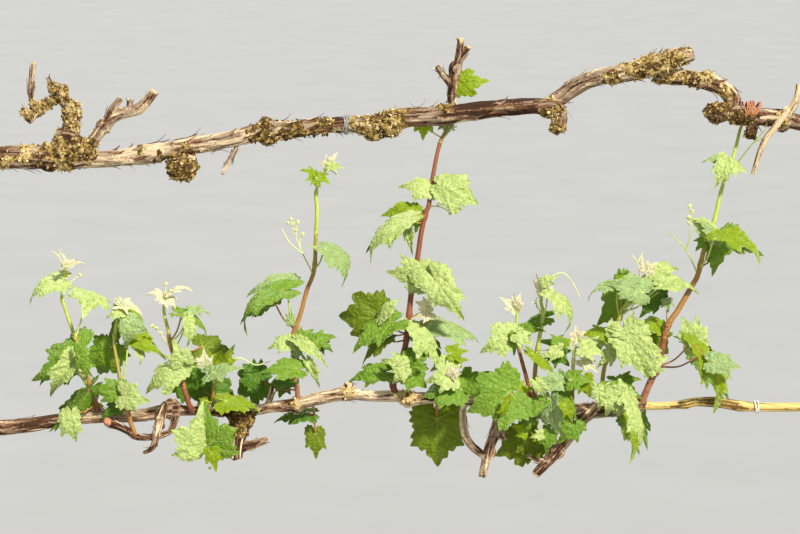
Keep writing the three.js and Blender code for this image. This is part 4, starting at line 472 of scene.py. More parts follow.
    "stalks": [[[542, 292, 0], [549, 279, 3], [563, 273, 4], [574, 285, 4], [580, 298, 4]],
      [[541, 314, -3], [536, 304, -1], [531, 303, 2]], [[537, 308, -2], [536, 299, 0], [540, 297, 2]]],
    "buds": [],
    "leaves": [
      ["woolly", 296, [542, 293, 2], [536, 275, 5], [532, 281, -0.2], [549, 286, 0.3], 10],
      ["woolly", 296, [545, 292, 4], [547, 281, 6], 10, 0, 1.0, 10, 0],
      ["pale", 297, [544, 282, 5], [557, 276, 7], 20, 0, 0.7, 0, 0],
      ["pale", 316, [549, 295, 8], [581, 325, 18], [573, 304, -0.5], [562, 316, 0.5], 46, 0.6],
      ["mid", 322, [544, 318, -6], [520, 323, -8], [533, 313, -0.3], [532, 327, 0.5], 10],
      ["backlit", 352, [533, 354, 12], [562, 375, 16], [549, 360, -0.5], [544, 368, 0.5], 5, 0.7],
      ["mid", 350, [560, 346, -8], [541, 340, -6], 44, 0, 0.9, 0, 10],
      ["pale", 352, [558, 351, 6], [541, 357, 10], [549, 346, -0.2], [550, 362, 0.3], 5],
      ["backlit", 346, [556, 346, -14], [574, 339, -14], 40, 0, 1.0, -8, 10],
      ["deep", 360, [556, 353, 0], [569, 365, 2], 16, 0, 1.1, 0, 0],
      ["silver", 390, [560, 384, 18], [535, 380, 24], [549, 371, -0.3], [551, 390, 0.4], 15, 0.8],
      ["pale", 388, [537, 383, 26], [547, 399, 28], [536, 394, 0.1], [550, 389, 0.1], 10],
      ["mid", 398, [541, 403, 24], [520, 420, 30], [526, 403, -0.2], [535, 417, 0.3], 10, 0.8],
      ["silver", 398, [551, 400, 28], [558, 439, 34], [541, 426, -0.3], [564, 419, 0.4], 15, 0.7],
      ["pale", 399, [541, 435, 30], [531, 438, 32], [535, 430, 0], [538, 442, 0], 5],
      ["mid", 399, [551, 432, 22], [547, 455, 26], [539, 444, 0.1], [557, 443, 0.1], 10],
    ],
  },
  {
    "name": "shoot_i",
    "stem": [[571, 407, 2, 2.3], [572, 396, 4, 2.2], [573, 374, 6, 2.1], [574, 352, 6, 1.7],
      [577, 338, 6, 1.2]],
    "stalks": [[[574, 354, 6], [570, 345, 7], [572, 340, 8]]],
    "buds": [],
    "leaves": [
      ["woolly", 341, [577, 338, 7], [576, 327, 9], 10, 0, 1.0, 10, 0],
      ["woolly", 342, [578, 337, 5], [585, 332, 6], 20, 0, 0.8, 0, 0],
      ["backlit", 348, [606, 335, -10], [583, 331, -10], 54, 0, 0.8, 0, 10],
      ["pale", 352, [590, 347, 0], [608, 342, 2], 40, 0, 1.0, 0, 10],
      ["pale", 356, [584, 348, 10], [605, 353, 14], 40, 0, 0.9, 0, 10],
      ["woolly", 360, [583, 361, 10], [599, 371, 14], 40, 0, 0.7, 0, 10],
      ["mid", 374, [563, 383, 20], [580, 420, 26], [577, 397, -0.3], [561, 410, 0.4], 15, 0.8],
      ["mid", 372, [571, 380, 26], [590, 380, 30], 30, 0, 1.0, 0, 20],
      ["backlit", 380, [584, 380, 22], [591, 398, 22], 10, 0, 0.9, 0, 0],
      ["backlit", 400, [565, 405, 30], [574, 421, 30], 0, 30, 0.7, 10, 0],
      ["mid", 402, [573, 423, 14], [560, 442, 16], 10, 0, 1.0, 10, 0],
    ],
  },
  {
    "name": "leaf_low_h",
    "stem": [[521, 412, -3, 1.7], [524, 422, -12, 1.5], [530, 438, -16, 1.2]],
    "stalks": [],
    "buds": [],
    "leaves": [
      ["olive", 434, [529, 440, -18], [497, 453, -14], 24, 0, 1.0, 6, 10],
      ["olive", 434, [528, 439, -12], [527, 462, -10], 10, 0, 0.8, 8, 0],
      ["backlit", 424, [526, 431, 2], [513, 426, 4], 10, 0, 1.1, 0, 0],
      ["backlit", 426, [540, 438, 8], [532, 434, 8], 10, 0, 1.1, 0, 0],
      ["mid", 424, [532, 424, 6], [526, 414, 8], 10, 0, 1.1, 8, 0],
    ],
  },
  {
    "name": "shoot_j",
    "stem": [[601, 408, 4, 2.4], [602, 392, 6, 2.3], [604, 369, 8, 2.2], [612, 346, 8, 2.1],
      [620, 316, 6, 1.9], [632, 296, 4, 1.5], [641, 280, 2, 1.3], [648, 272, 2, 1.1]],
    "stalks": [[[640, 280, 2], [638, 264, 4], [632, 255, 4]], [[638, 262, 4], [643, 252, 4]],
      [[621, 316, 6], [630, 309, 12], [637, 301, 13], [643, 296, 14]], [[636, 302, 13],
      [634, 297, 14]]],
    "buds": [[643, 296, 14], [641, 293, 14], [634, 297, 14], [638, 300, 13]],
    "leaves": [
      ["pale", 350, [626, 333, 26], [648, 377, 34], [664, 357, 0.2], [622, 368, 0.2], 12],
      ["silver", 318, [615, 287, 10], [584, 291, 20], [600, 280, -0.6], [602, 293, 0.6], 50],
      ["silver", 310, [642, 292, 8], [610, 281, 16], [628, 271, -0.3], [618, 297, 0.4], 20],
      ["pale", 306, [662, 286, 10], [699, 284, 8], [682, 271, -0.3], [680, 289, 0.9], 10, 0.6],
      ["pale", 300, [657, 272, 0], [679, 268, -2], [668, 260, -0.2], [668, 277, 0.3], 10],
      ["backlit", 300, [632, 282, -6], [618, 275, -6], 30, 0, 1.0, 0, 0],
      ["woolly", 275, [646, 270, 6], [656, 262, 8], 30, 0, 0.9, 10, 0],
      ["woolly", 276, [645, 269, 4], [642, 256, 6], 0, 0, 0.6, 10, 0],
      ["pale", 350, [629, 332, 24], [633, 311, 22], [623, 320, 0], [640, 320, 0], 5],
      ["pale", 352, [624, 334, 24], [605, 328, 24], [612, 322, 0], [609, 336, 0.2], 5],
      ["mid", 322, [622, 291, -10], [598, 326, -14], [600, 297, 0], [618, 325, 0], 5],
      ["deep", 312, [658, 293, 2], [641, 317, 4], [640, 299, 0], [655, 315, 0], 5],
      ["backlit", 312, [660, 291, -6], [656, 313, -6], 10, 40, 0.8, 0, 0],
      ["pale", 358, [612, 352, 16], [598, 366, 20], 20, 0, 0.8, 0, 10],
    ],
  },
  {
    "name": "shoot_j_low",
    "stem": [[621, 404, 3, 2.2], [620, 396, 8, 2], [618, 388, 10, 1.7], [614, 380, 12, 1.3]],
    "stalks": [[[616, 383, 11], [607, 384, 18], [601, 396, 22]]],
    "buds": [],
    "leaves": [
      ["mid", 386, [615, 383, 16], [642, 396, 20], [634, 385, -0.2], [622, 398, 0.3], 10],
      ["pale", 388, [622, 400, 22], [603, 385, 26], 18, 0, 1.0, 10, 10],
      ["pale", 392, [598, 390, 30], [600, 411, 32], [592, 399, 0], [606, 402, 0], 5],
      ["pale", 392, [612, 400, 34], [606, 416, 36], 10, 0, 1.1, 8, 0],
      ["mid", 384, [622, 382, 8], [639, 377, 10], 40, 0, 0.9, 0, 10],
      ["pale", 396, [624, 398, 28], [637, 406, 32], 20, 0, 1.1, 8, 10],
      ["pale", 398, [634, 404, 26], [649, 449, 32], [648, 428, -0.5], [632, 431, 0.5], 6, 0.8],
      ["backlit", 399, [623, 412, 20], [641, 457, 26], [643, 436, -0.4], [630, 436, 0.5], 5, 0.6],
      ["deep", 400, [628, 409, 12], [612, 415, 12], 30, 0, 1.0, 0, 0],
    ],
  },
  {
    "name": "shoot_k",
    "stem": [[642, 402, 2, 3.7], [646, 392, 4, 3.5], [653, 376, 4, 3.4], [658, 367, 4, 3.2],
      [667, 328, 2, 3], [678, 310, 1, 2.9], [693, 284, 0, 2.8], [698, 274, 0, 2.7],
      [705, 246, -2, 2.4], [715, 218, -4, 2.2], [722, 188, -6, 2], [733, 158, -10, 1.8],
      [740, 130, -16, 1.6], [744, 122, -18, 1.3]],
    "stalks": [[[697, 273, 0], [686, 250, 6], [669, 232, 8]], [[686, 250, 6], [690, 236, 7],
      [690, 210, 8]], [[738, 162, -4], [753, 143, 6], [767, 128, 14]], [[753, 143, 6], [766, 136, 12]]],
    "buds": [[690, 206, 8], [692, 211, 8], [689, 217, 8], [689, 223, 8]],
    "leaves": [
      ["silver", 166, [727, 162, 4], [704, 157, 10], [714, 152, -0.5], [714, 168, 0.6], 30],
      ["pale", 166, [728, 162, 6], [751, 172, 12], [741, 162, -0.5], [736, 177, 0.5], 30],
      ["pale", 168, [726, 164, 12], [716, 186, 18], [712, 170, 0.3], [728, 180, 0.3], 10],
      ["pale", 226, [712, 233, 4], [691, 217, 10], [703, 215, -0.3], [697, 233, 0.3], 20],
      ["silver", 230, [716, 237, 10], [699, 216, 14], [710, 222, -0.4], [707, 230, 0.4], 10],
      ["mid", 240, [705, 240, 6], [696, 250, 8], 20, 0, 1.0, 0, 10],
      ["backlit", 268, [716, 239, 10], [768, 253, 18], [744, 232, -0.6], [741, 249, 0.5], 46, 0.5],
      ["mid", 268, [715, 242, 16], [714, 274, 24], [736, 249, 0.2], [706, 261, 0.2], 10],
      ["silver", 330, [667, 301, 6], [668, 312, 8], 0, 0, 1.0, 0, 0],
      ["backlit", 327, [662, 327, -8], [641, 317, -8], 64, 0, 0.9, 0, 10],
      ["olive", 350, [651, 337, -14], [669, 354, -16], 8, 0, 1.1, 0, 0],
      ["backlit", 367, [693, 344, 14], [734, 399, 20], [735, 377, -0.2], [713, 377, 0.5], 12, 0.7],
      ["pale", 367, [695, 343, 10], [683, 318, 8], 10, 0, 0.7, 8, 10],
      ["pale", 367, [698, 342, 8], [697, 317, 4], 10, 0, 0.7, 8, 10],
      ["silver", 367, [714, 362, 20], [740, 366, 20], 30, 0, 0.7, 0, 10],
      ["pale", 366, [689, 341, 12], [673, 336, 8], 10, 0, 0.4, 0, 0],
      ["pale", 368, [650, 367, 14], [666, 357, 16], 16, 0, 1.0, 6, 0],
    ],
  },
]

# Shoots beyond what is looked at, grown by the seeded rule from a foot and a direction.
RULE_SHOOTS = [
  {"name": "shoot_l", "foot": [876, 403, 0], "lean": 8, "out": 10, "nodes": 5,
    "spacing": 34, "blade": 38, "seed": 11},
  {"name": "shoot_m", "foot": [944, 397, 0], "lean": 14, "out": 20, "nodes": 4,
    "spacing": 29, "blade": 34, "seed": 23},
  {"name": "shoot_n", "foot": [-76, 433, 0], "lean": 3, "out": 14, "nodes": 4,
    "spacing": 30, "blade": 34, "seed": 37},
  {"name": "shoot_o", "foot": [886, 125, 0], "lean": 10, "out": 12, "nodes": 4,
    "spacing": 27, "blade": 32, "seed": 51},
]


# Seeded random numbers, the same as the source's.
def seeded(seed):
    state = [seed & WORD]

    def draw():
        state[0] = (state[0] + 0x6D2B79F5) & WORD
        mixed = state[0]
        mixed = ((mixed ^ (mixed >> 15)) * (mixed | 1)) & WORD
        turned = ((mixed ^ (mixed >> 7)) * (mixed | 61)) & WORD
        mixed ^= (mixed + turned) & WORD
        return (mixed ^ (mixed >> 14)) / DRAWS

    return draw


# Smooth noise between -1 and 1 at many places at once, from whole-number lattice corners.
def noise(places, seed=0):
    places = np.asarray(places, float)
    corner = np.floor(places).astype(np.int64)
    inside = places - corner
    ease = inside * inside * (3 - 2 * inside)
    total = np.zeros(len(places))
    for number in range(8):
        step = np.array([number & 1, (number >> 1) & 1, (number >> 2) & 1])
        at = corner + step
        key = at[:, 0] * 374761393 + at[:, 1] * 668265263 + at[:, 2] * 1274126177 + seed * 974711
        key &= WORD
        key = ((key ^ (key >> 13)) * 1274126177) & WORD
        value = ((key ^ (key >> 16)) & 0xFFFF) / 32767.5 - 1
        share = np.where(step == 1, ease, 1 - ease).prod(axis=1)
        total += value * share
    return total


# A vector of the same direction and length one.
def unit(vector):
    return vector / max(np.linalg.norm(vector), 1e-12)


# A place given as millimetres across and down the face, and out toward the viewer, in metres.
def sighted(across, down, out):
    side = across * MM - FACE_WIDTH / 2
    rise = FACE_HEIGHT / 2 - down * MM
    reach = EYE_DISTANCE * math.cos(EYE_FALL)
    share = (reach - out * MM) / (reach + rise * math.sin(EYE_FALL))
    height = rise * math.cos(EYE_FALL) - EYE_DISTANCE * math.sin(EYE_FALL)
    middle = FACE_LEFT_X + FACE_WIDTH / 2
    top = FACE_MIDDLE_Z + EYE_DISTANCE * math.sin(EYE_FALL)
    return np.array([middle + share * side, -out * MM, top + share * height])


# A waypoint is its place and radius in metres, as one row of four numbers.
def waypoint(row):
    return np.array([*sighted(row[0], row[1], row[2]), row[3] * MM])


# Waypoints joined by a smooth curve with a station at about every given step.
def smoothed(points, step):
    points = np.asarray(points, float)
    found = []
    last = len(points) - 1
    for span in range(last):
        p0, p1 = points[max(span - 1, 0)], points[span]
        p2, p3 = points[span + 1], points[min(span + 2, last)]
        count = max(1, int(round(np.linalg.norm(p2[:3] - p1[:3]) / step)))
        for number in range(count):
            t = number / count
            bend = 2 * p0 - 5 * p1 + 4 * p2 - p3
            twist = 3 * (p1 - p2) + p3 - p0
            row = 0.5 * (2 * p1 + (p2 - p0) * t + bend * t * t + twist * t * t * t)
            row[3] = p1[3] + (p2[3] - p1[3]) * t
            found.append(row)
    found.append(points[last])
    return np.array(found)


# The directions along, out of and across a line of stations, turned as little as can be.
def line_frame(places):
    along = np.gradient(places, axis=0)
    along /= np.linalg.norm(along, axis=1)[:, None]
    normals = np.zeros_like(along)
    helper = np.array([0.0, 1.0, 0.0]) if abs(along[0][1]) < 0.9 else SKY
    normal = np.cross(helper, along[0])
    for number, direction in enumerate(along):
        normal = unit(normal - direction * normal.dot(direction))
        normals[number] = normal
    return along, normals, np.cross(along, normals)


# Several solids' corners and faces as one list of each.
def merged(solids):
    piled = []
    faces = []
    count = 0
    for corners, sides in solids:
        piled.append(corners)
        faces.extend([tuple(count + corner for corner in face) for face in sides])
        count += len(corners)
    return np.concatenate(piled), faces


# A mesh as a piece that rides on the plant and stands for CAD nodes.
def add_piece(name, mesh, replaced):
    made = bpy.data.objects.new(name, mesh)
    bpy.context.scene.collection.objects.link(made)
    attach(made, "root")
    if replaced:
        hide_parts(*replaced)


# Gives a mesh its finishes, the number of the finish of each face, and smooth shading.
def dress(mesh, finishes, numbers):
    for finish in finishes:
        mesh.materials.append(FINISHES[finish])
    mesh.polygons.foreach_set("material_index", numbers)
    mesh.polygons.foreach_set("use_smooth", [True] * len(mesh.polygons))
    mesh.update()


# Corners, faces and their finishes, gathered for pieces that are made from arrays.
class Pile:
    def __init__(self, name, finishes, slot, replaced):
        self.name = name
        self.finishes = finishes
        self.slot = slot
        self.replaced = replaced
        self.corners = []
        self.faces = []
        self.slots = []
        self.count = 0

    def add(self, corners, faces, finish):
        self.corners.append(np.asarray(corners, float))
        self.count += len(corners)
        self.extend(faces, finish, len(corners))

    # More faces on the last corners that were added.
    def extend(self, faces, finish, added):
        start = self.count - added
        self.faces.extend([tuple(start + corner for corner in face) for face in faces])
        self.slots.extend([self.finishes.index(finish)] * len(faces))

    def triangles(self):
        return sum(len(face) - 2 for face in self.faces)

    # The gathered corners and faces as one Blender piece.
    def piece(self):
        mesh = bpy.data.meshes.new(self.name)
        mesh.from_pydata(np.concatenate(self.corners).tolist(), [], self.faces)
        dress(mesh, self.finishes, self.slots)
        mesh.set_sharp_from_angle(angle=SHARP_EDGE)
        add_piece(self.name, mesh, self.replaced)


# The faces of a closed skin of rings of corners, with its two ends.
def ring_faces(rings, sides):
    faces = []
    for ring in range(rings - 1):
        for side in range(sides):
            a, b = ring * sides + side, ring * sides + (side + 1) % sides
            faces.append((a, b, b + sides, a + sides))
    last = (rings - 1) * sides
    faces.append(tuple(range(sides - 1, -1, -1)))
    faces.append(tuple(range(last, last + sides)))
    return faces


# The corners and faces of a closed round tube along stations of place and radius.
def tube(stations, sides):
    places = stations[:, :3]
    along, normals, across = line_frame(places)
    angles = np.linspace(0, 2 * math.pi, sides, endpoint=False)[None, :, None]
    ring = normals[:, None, :] * np.cos(angles) + across[:, None, :] * np.sin(angles)
    corners = (places[:, None, :] + ring * stations[:, 3][:, None, None]).reshape(-1, 3)
    return corners, ring_faces(len(stations), sides)


# The corners and faces of a lumpy ball, wider one way than the other.
def lump(centre, wide, tall, sides=14, rough=0.16, seed=0):
    rings = sides // 2 + 2
    corners = [centre + np.array([0, 0, tall])]
    for ring in range(1, rings):
        tilt = math.pi * ring / rings
        for side in range(sides):
            angle = 2 * math.pi * side / sides
            corners.append(centre + np.array([
                wide * math.sin(tilt) * math.cos(angle),
                0.82 * wide * math.sin(tilt) * math.sin(angle),
                tall * math.cos(tilt)]))
    corners.append(centre - np.array([0, 0, tall]))
    corners = np.array(corners)
    if rough:
        push = 1 + rough * noise((corners - centre) / wide * 1.4 + 7 * seed, seed)
        corners = centre + (corners - centre) * push[:, None]
    faces = []
    bottom = len(corners) - 1
    for side in range(sides):
        other = (side + 1) % sides
        faces.append((0, 1 + side, 1 + other))
        for ring in range(rings - 2):
            a, b = 1 + ring * sides + side, 1 + ring * sides + other
            faces.append((a, a + sides, b + sides, b))
        low = 1 + (rings - 2) * sides
        faces.append((bottom, low + other, low + side))
    return corners, faces

FINISHES = {}
# How fine each pattern is: bark streaks, stem streaks, grain, leaf mottle, drift and net.
BARK_STREAKS = 420
STEM_STREAKS = 700
FINE_GRAIN = 900
LEAF_MOTTLE = 190
NET_DRIFT = 260
LEAF_NET = 330


# A material with its shader, its output and an empty place for more nodes.
def started(name):
    made = bpy.data.materials.new(name)
    made.use_nodes = True
    nodes = made.node_tree.nodes
    return made, nodes, made.node_tree.links, nodes["Principled BSDF"]


# A noise pattern in the plant's own space, stretched along one axis.
def pattern(nodes, links, scale, detail, stretch=(1, 1, 1)):
    where = nodes.new("ShaderNodeTexCoord")
    mapping = nodes.new("ShaderNodeMapping")
    mapping.inputs["Scale"].default_value = stretch
    texture = nodes.new("ShaderNodeTexNoise")
    texture.inputs["Scale"].default_value = scale
    texture.inputs["Detail"].default_value = detail
    links.new(where.outputs["Object"], mapping.inputs["Vector"])
    links.new(mapping.outputs["Vector"], texture.inputs["Vector"])
    return texture.outputs["Fac"]


# A ramp of colours read by a pattern.
def ramp(nodes, links, source, stops):
    made = nodes.new("ShaderNodeValToRGB")
    band = made.color_ramp
    while len(band.elements) < len(stops):
        band.elements.new(0.5)
    for element, (place, colour) in zip(band.elements, stops):
        element.position = place
        element.color = (*colour, 1)
    links.new(source, made.inputs["Fac"])
    return made.outputs["Color"]


# A shade of a colour, lighter or darker.
def shade(colour, share):
    return tuple(min(1.0, channel * share) for channel in colour)


# A colour given as it shows on a screen, as amounts of light.
def screen(red, green, blue):
    return tuple(((channel / 255) ** 2.2) for channel in (red, green, blue))


# Fine relief from a pattern, raised on what lies under it.
def relief_node(nodes, links, source, strength, distance, under=None):
    made = nodes.new("ShaderNodeBump")
    made.inputs["Strength"].default_value = strength
    made.inputs["Distance"].default_value = distance
    links.new(source, made.inputs["Height"])
    if under:
        links.new(under, made.inputs["Normal"])
    return made.outputs["Normal"]


# Bark and wood: streaks along one axis, with fine relief.
def wood_finish(name, colour, stretch, rough=0.85, depth=0.5, spread=0.35):
    made, nodes, links, shader = started(name)
    streaks = pattern(nodes, links, BARK_STREAKS, 5, stretch)
    stops = [(0.3, shade(colour, 1 - spread)), (0.52, colour), (0.74, shade(colour, 1 + spread))]
    links.new(ramp(nodes, links, streaks, stops), shader.inputs["Base Color"])
    shader.inputs["Roughness"].default_value = rough
    shader.inputs["Specular IOR Level"].default_value = 0.25
    grains = pattern(nodes, links, FINE_GRAIN, 4, stretch)
    links.new(relief_node(nodes, links, grains, depth, 0.6 * MM), shader.inputs["Normal"])
    FINISHES[name] = made


# The cells between the finest veins of a leaf, bent a little by noise.
def quilted(nodes, links, feature):
    where = nodes.new("ShaderNodeTexCoord")
    drift = nodes.new("ShaderNodeTexNoise")
    drift.inputs["Scale"].default_value = NET_DRIFT
    links.new(where.outputs["Object"], drift.inputs["Vector"])
    bent = nodes.new("ShaderNodeVectorMath")
    bent.operation = "MULTIPLY_ADD"
    bent.inputs[1].default_value = (0.002, 0.002, 0.002)
    links.new(drift.outputs["Color"], bent.inputs[0])
    links.new(where.outputs["Object"], bent.inputs[2])
    cells = nodes.new("ShaderNodeTexVoronoi")
    cells.feature = feature
    cells.inputs["Scale"].default_value = LEAF_NET
    links.new(bent.outputs["Vector"], cells.inputs["Vector"])
    return cells


# Leaf: mottled green, darker along the net of its fine veins and puckered between them, with part of the
# light coming through it. The dark net is partly the veins' own colour and partly painted shade in the
# creases between the puckers.
def leaf_finish(name, colour, glow, through=0.35, rough=0.5, mottle=0.14, net=0.1):
    made, nodes, links, shader = started(name)
    mottled = pattern(nodes, links, LEAF_MOTTLE, 5)
    stops = [(0.34, shade(colour, 1 - mottle)), (0.5, colour), (0.66, shade(colour, 1 + mottle))]
    patches = ramp(nodes, links, mottled, stops)
    cells = quilted(nodes, links, "SMOOTH_F1")
    edges = quilted(nodes, links, "DISTANCE_TO_EDGE")
    dark = shade((0.94, 1.0, 0.8), 1 - net)
    net_and_crease_shade = ramp(nodes, links, edges.outputs["Distance"], [(0.02, dark), (0.16, (1, 1, 1))])
    blend = nodes.new("ShaderNodeMix")
    blend.data_type = "RGBA"
    blend.blend_type = "MULTIPLY"
    blend.inputs["Factor"].default_value = 1
    links.new(patches, blend.inputs["A"])
    links.new(net_and_crease_shade, blend.inputs["B"])
    links.new(blend.outputs["Result"], shader.inputs["Base Color"])
    shader.inputs["Roughness"].default_value = rough
    shader.inputs["Specular IOR Level"].default_value = 0.4
    quilt = relief_node(nodes, links, cells.outputs["Distance"], 0.8, -2.2 * MM)
    grains = pattern(nodes, links, FINE_GRAIN, 2)
    links.new(relief_node(nodes, links, grains, 0.35, 0.5 * MM, quilt), shader.inputs["Normal"])
    lit = nodes.new("ShaderNodeBsdfTranslucent")
    lit.inputs["Color"].default_value = (*glow, 1)
    mix = nodes.new("ShaderNodeMixShader")
    mix.inputs["Fac"].default_value = through
    links.new(shader.outputs["BSDF"], mix.inputs[1])
    links.new(lit.outputs["BSDF"], mix.inputs[2])
    links.new(mix.outputs["Shader"], nodes["Material Output"].inputs["Surface"])
    FINISHES[name] = made


# Green or reddish young stem: smooth, faintly streaked.
def stem_finish(name, colour, stretch=(1, 1, 0.15)):
    made, nodes, links, shader = started(name)
    streaks = pattern(nodes, links, STEM_STREAKS, 3, stretch)
    stops = [(0.3, shade(colour, 0.8)), (0.5, colour), (0.72, shade(colour, 1.22))]
    links.new(ramp(nodes, links, streaks, stops), shader.inputs["Base Color"])
    shader.inputs["Roughness"].default_value = 0.5
    shader.inputs["Subsurface Weight"].default_value = 0.08
    shader.inputs["Subsurface Radius"].default_value = (0.002, 0.002, 0.001)
    FINISHES[name] = made


ALONG_ARMS = (0.12, 1, 1)
ALONG_TRUNK = (1, 1, 0.1)
ALONG_SPURS = (1, 1, 0.3)
ALONG_CANE = (0.06, 1, 1)
EVEN = (1, 1, 1)

# Each zone of bark with the run of its streaks and how light it is, in four tones of one family.
ZONES = {
    "trunk": (ALONG_TRUNK, 0.92), "arm": (ALONG_ARMS, 1.0),
    "low": (ALONG_ARMS, 1.2), "spur": (ALONG_SPURS, 1.0),
}
for zone, (stretch, light) in ZONES.items():
    wood_finish(zone + "_dark", shade(screen(62, 42, 30), light), stretch, 0.95)
    wood_finish(zone + "_brown", shade(screen(112, 80, 56), light), stretch, 0.9)
    wood_finish(zone + "_grey", shade(screen(150, 128, 104), light), stretch, 0.88)
    wood_finish(zone + "_light", shade(screen(202, 178, 142), light), stretch, 0.85)
wood_finish("lichen_dark", screen(78, 58, 32), EVEN, 0.95, 0.8, 0.4)
wood_finish("lichen", screen(144, 118, 64), EVEN, 0.95, 0.8, 0.4)
wood_finish("lichen_pale", screen(190, 166, 112), EVEN, 0.95, 0.8, 0.3)
wood_finish("crust_dark", screen(92, 68, 40), EVEN, 0.95, 0.5, 0.35)
wood_finish("crust_olive", screen(132, 112, 52), EVEN, 0.95, 0.5, 0.35)
wood_finish("crust_ochre", screen(164, 134, 76), EVEN, 0.95, 0.5, 0.35)
wood_finish("crust_cream", screen(204, 182, 130), EVEN, 0.95, 0.5, 0.25)
wood_finish("cane_straw", screen(208, 178, 104), ALONG_CANE, 0.55, 0.25, 0.22)
wood_finish("cane_pale", screen(228, 202, 132), ALONG_CANE, 0.55, 0.25, 0.18)
wood_finish("cane_brown", screen(116, 88, 44), ALONG_CANE, 0.7, 0.4, 0.3)
wood_finish("dead_straw", screen(206, 182, 142), (1, 1, 0.12), 0.8, 0.4, 0.28)
wood_finish("cut_pink", screen(196, 132, 100), EVEN, 0.75, 0.3, 0.18)
wood_finish("cut_tan", screen(200, 172, 126), EVEN, 0.8, 0.4, 0.2)
wood_finish("cut_red", screen(120, 60, 40), EVEN, 0.8, 0.4, 0.25)

# Leaf greens: pale, mid and deep are one leaf green painted in sun and shade, pale for leaves facing the
# sun and mid and deep for leaves in shade, over some real difference between leaves; backlit is a brighter
# yellow green, a painted glow of sun shining through the leaf, on top of its translucency.
leaf_finish("pale", screen(192, 206, 128), screen(196, 210, 70), 0.28)
leaf_finish("mid", screen(126, 160, 50), screen(168, 196, 18), 0.36)
leaf_finish("deep", screen(92, 130, 36), screen(140, 172, 12), 0.36)
leaf_finish("olive", screen(124, 138, 26), screen(170, 180, 6), 0.45)
leaf_finish("backlit", screen(160, 180, 30), screen(206, 216, 6), 0.55)
leaf_finish("silver", screen(158, 180, 120), screen(176, 200, 80), 0.28)
leaf_finish("woolly", screen(236, 232, 204), screen(238, 236, 190), 0.45, 0.8, 0.06, 0.05)
leaf_finish("woolly_pink", screen(236, 222, 200), screen(238, 226, 190), 0.45, 0.8, 0.06, 0.05)
leaf_finish("under_pale", screen(166, 184, 100), screen(190, 206, 60), 0.35, 0.75)
leaf_finish("under_deep", screen(130, 154, 72), screen(160, 190, 20), 0.36, 0.75)
leaf_finish("vein_pale", screen(196, 206, 128), screen(210, 220, 100), 0.2, 0.6, 0.08, 0)
leaf_finish("vein_mid", screen(164, 186, 82), screen(190, 206, 50), 0.2, 0.6, 0.08, 0)
leaf_finish("vein_deep", screen(132, 162, 62), screen(160, 190, 40), 0.2, 0.6, 0.08, 0)
stem_finish("stem_red", screen(136, 80, 52))
stem_finish("stem_dark", screen(112, 62, 40))
stem_finish("stem_orange", screen(164, 118, 62))
stem_finish("stem_olive", screen(158, 144, 62))
stem_finish("stem_green", screen(178, 194, 84))
stem_finish("stem_pale", screen(212, 216, 140))
stem_finish("stem_pink", screen(156, 104, 80))
stem_finish("bud_green", screen(206, 212, 122), EVEN)
stem_finish("tie_grey", screen(150, 146, 140), EVEN)
stem_finish("tie_raffia", screen(172, 112, 72), (0.2, 1, 1))
stem_finish("tie_white", screen(226, 222, 212), EVEN)

# How each piece of bark is made: the size of the joined mesh's cells, the width and length of its
# strips, how deep its fissures and lumps are, and its family of finishes.
BARKS = {
    "trunk_bark": {"cell": 1.95, "strip": 4.6, "length": 70, "depth": 2.4, "lumps": 2.0, "zone": "trunk"},
    "upper_arm_bark": {"cell": 1.06, "strip": 2.5, "length": 34, "depth": 1.5, "lumps": 1.3, "zone": "arm"},
    "old_spur_bark": {"cell": 0.75, "strip": 2.0, "length": 18, "depth": 1.0, "lumps": 1.0, "zone": "spur"},
    "lower_arm_bark": {"cell": 0.84, "strip": 1.8, "length": 26, "depth": 0.8, "lumps": 0.7, "zone": "low"},
    "stub_bark": {"cell": 0.7, "strip": 1.5, "length": 16, "depth": 0.6, "lumps": 0.6, "zone": "low"},
    "cane_bark": {"cell": 0.65, "strip": 1.5, "length": 40, "depth": 0.14, "lumps": 0.2, "zone": "cane"},
    "dead_cane_wood": {"cell": 0.55, "strip": 1, "length": 30, "depth": 0.18, "lumps": 0.2, "zone": "dead"},
}
MEMBERS = {
    "upper_arm_bark": ["upper_arm_1", "upper_arm_2", "upper_arm_3", "upper_arm_4", "upper_arm_5",
                       "upper_arm_6", "hanging_knob"],
    "old_spur_bark": ["old_spur_1", "old_spur_2", "thin_spur", "top_spur"],
    "lower_arm_bark": ["lower_arm_1", "lower_arm_2", "lower_arm_3", "lower_arm_4", "lower_knob"],
    "stub_bark": ["stub_a", "stub_b", "stub_c", "front_branch", "brown_spur", "bark_flake"],
    "cane_bark": ["lower_cane"],
    "dead_cane_wood": ["dead_cane"],
}
SHADES = {
    "trunk": ["trunk_dark", "trunk_brown", "trunk_grey", "trunk_light"],
    "arm": ["arm_dark", "arm_brown", "arm_grey", "arm_light"],
    "spur": ["spur_dark", "spur_brown", "spur_grey", "spur_light"],
    "low": ["low_dark", "low_brown", "low_grey", "low_light"],
    "cane": ["cane_brown", "cane_straw", "cane_straw", "cane_pale"],
    "dead": ["spur_brown", "dead_straw", "dead_straw", "spur_light"],
}
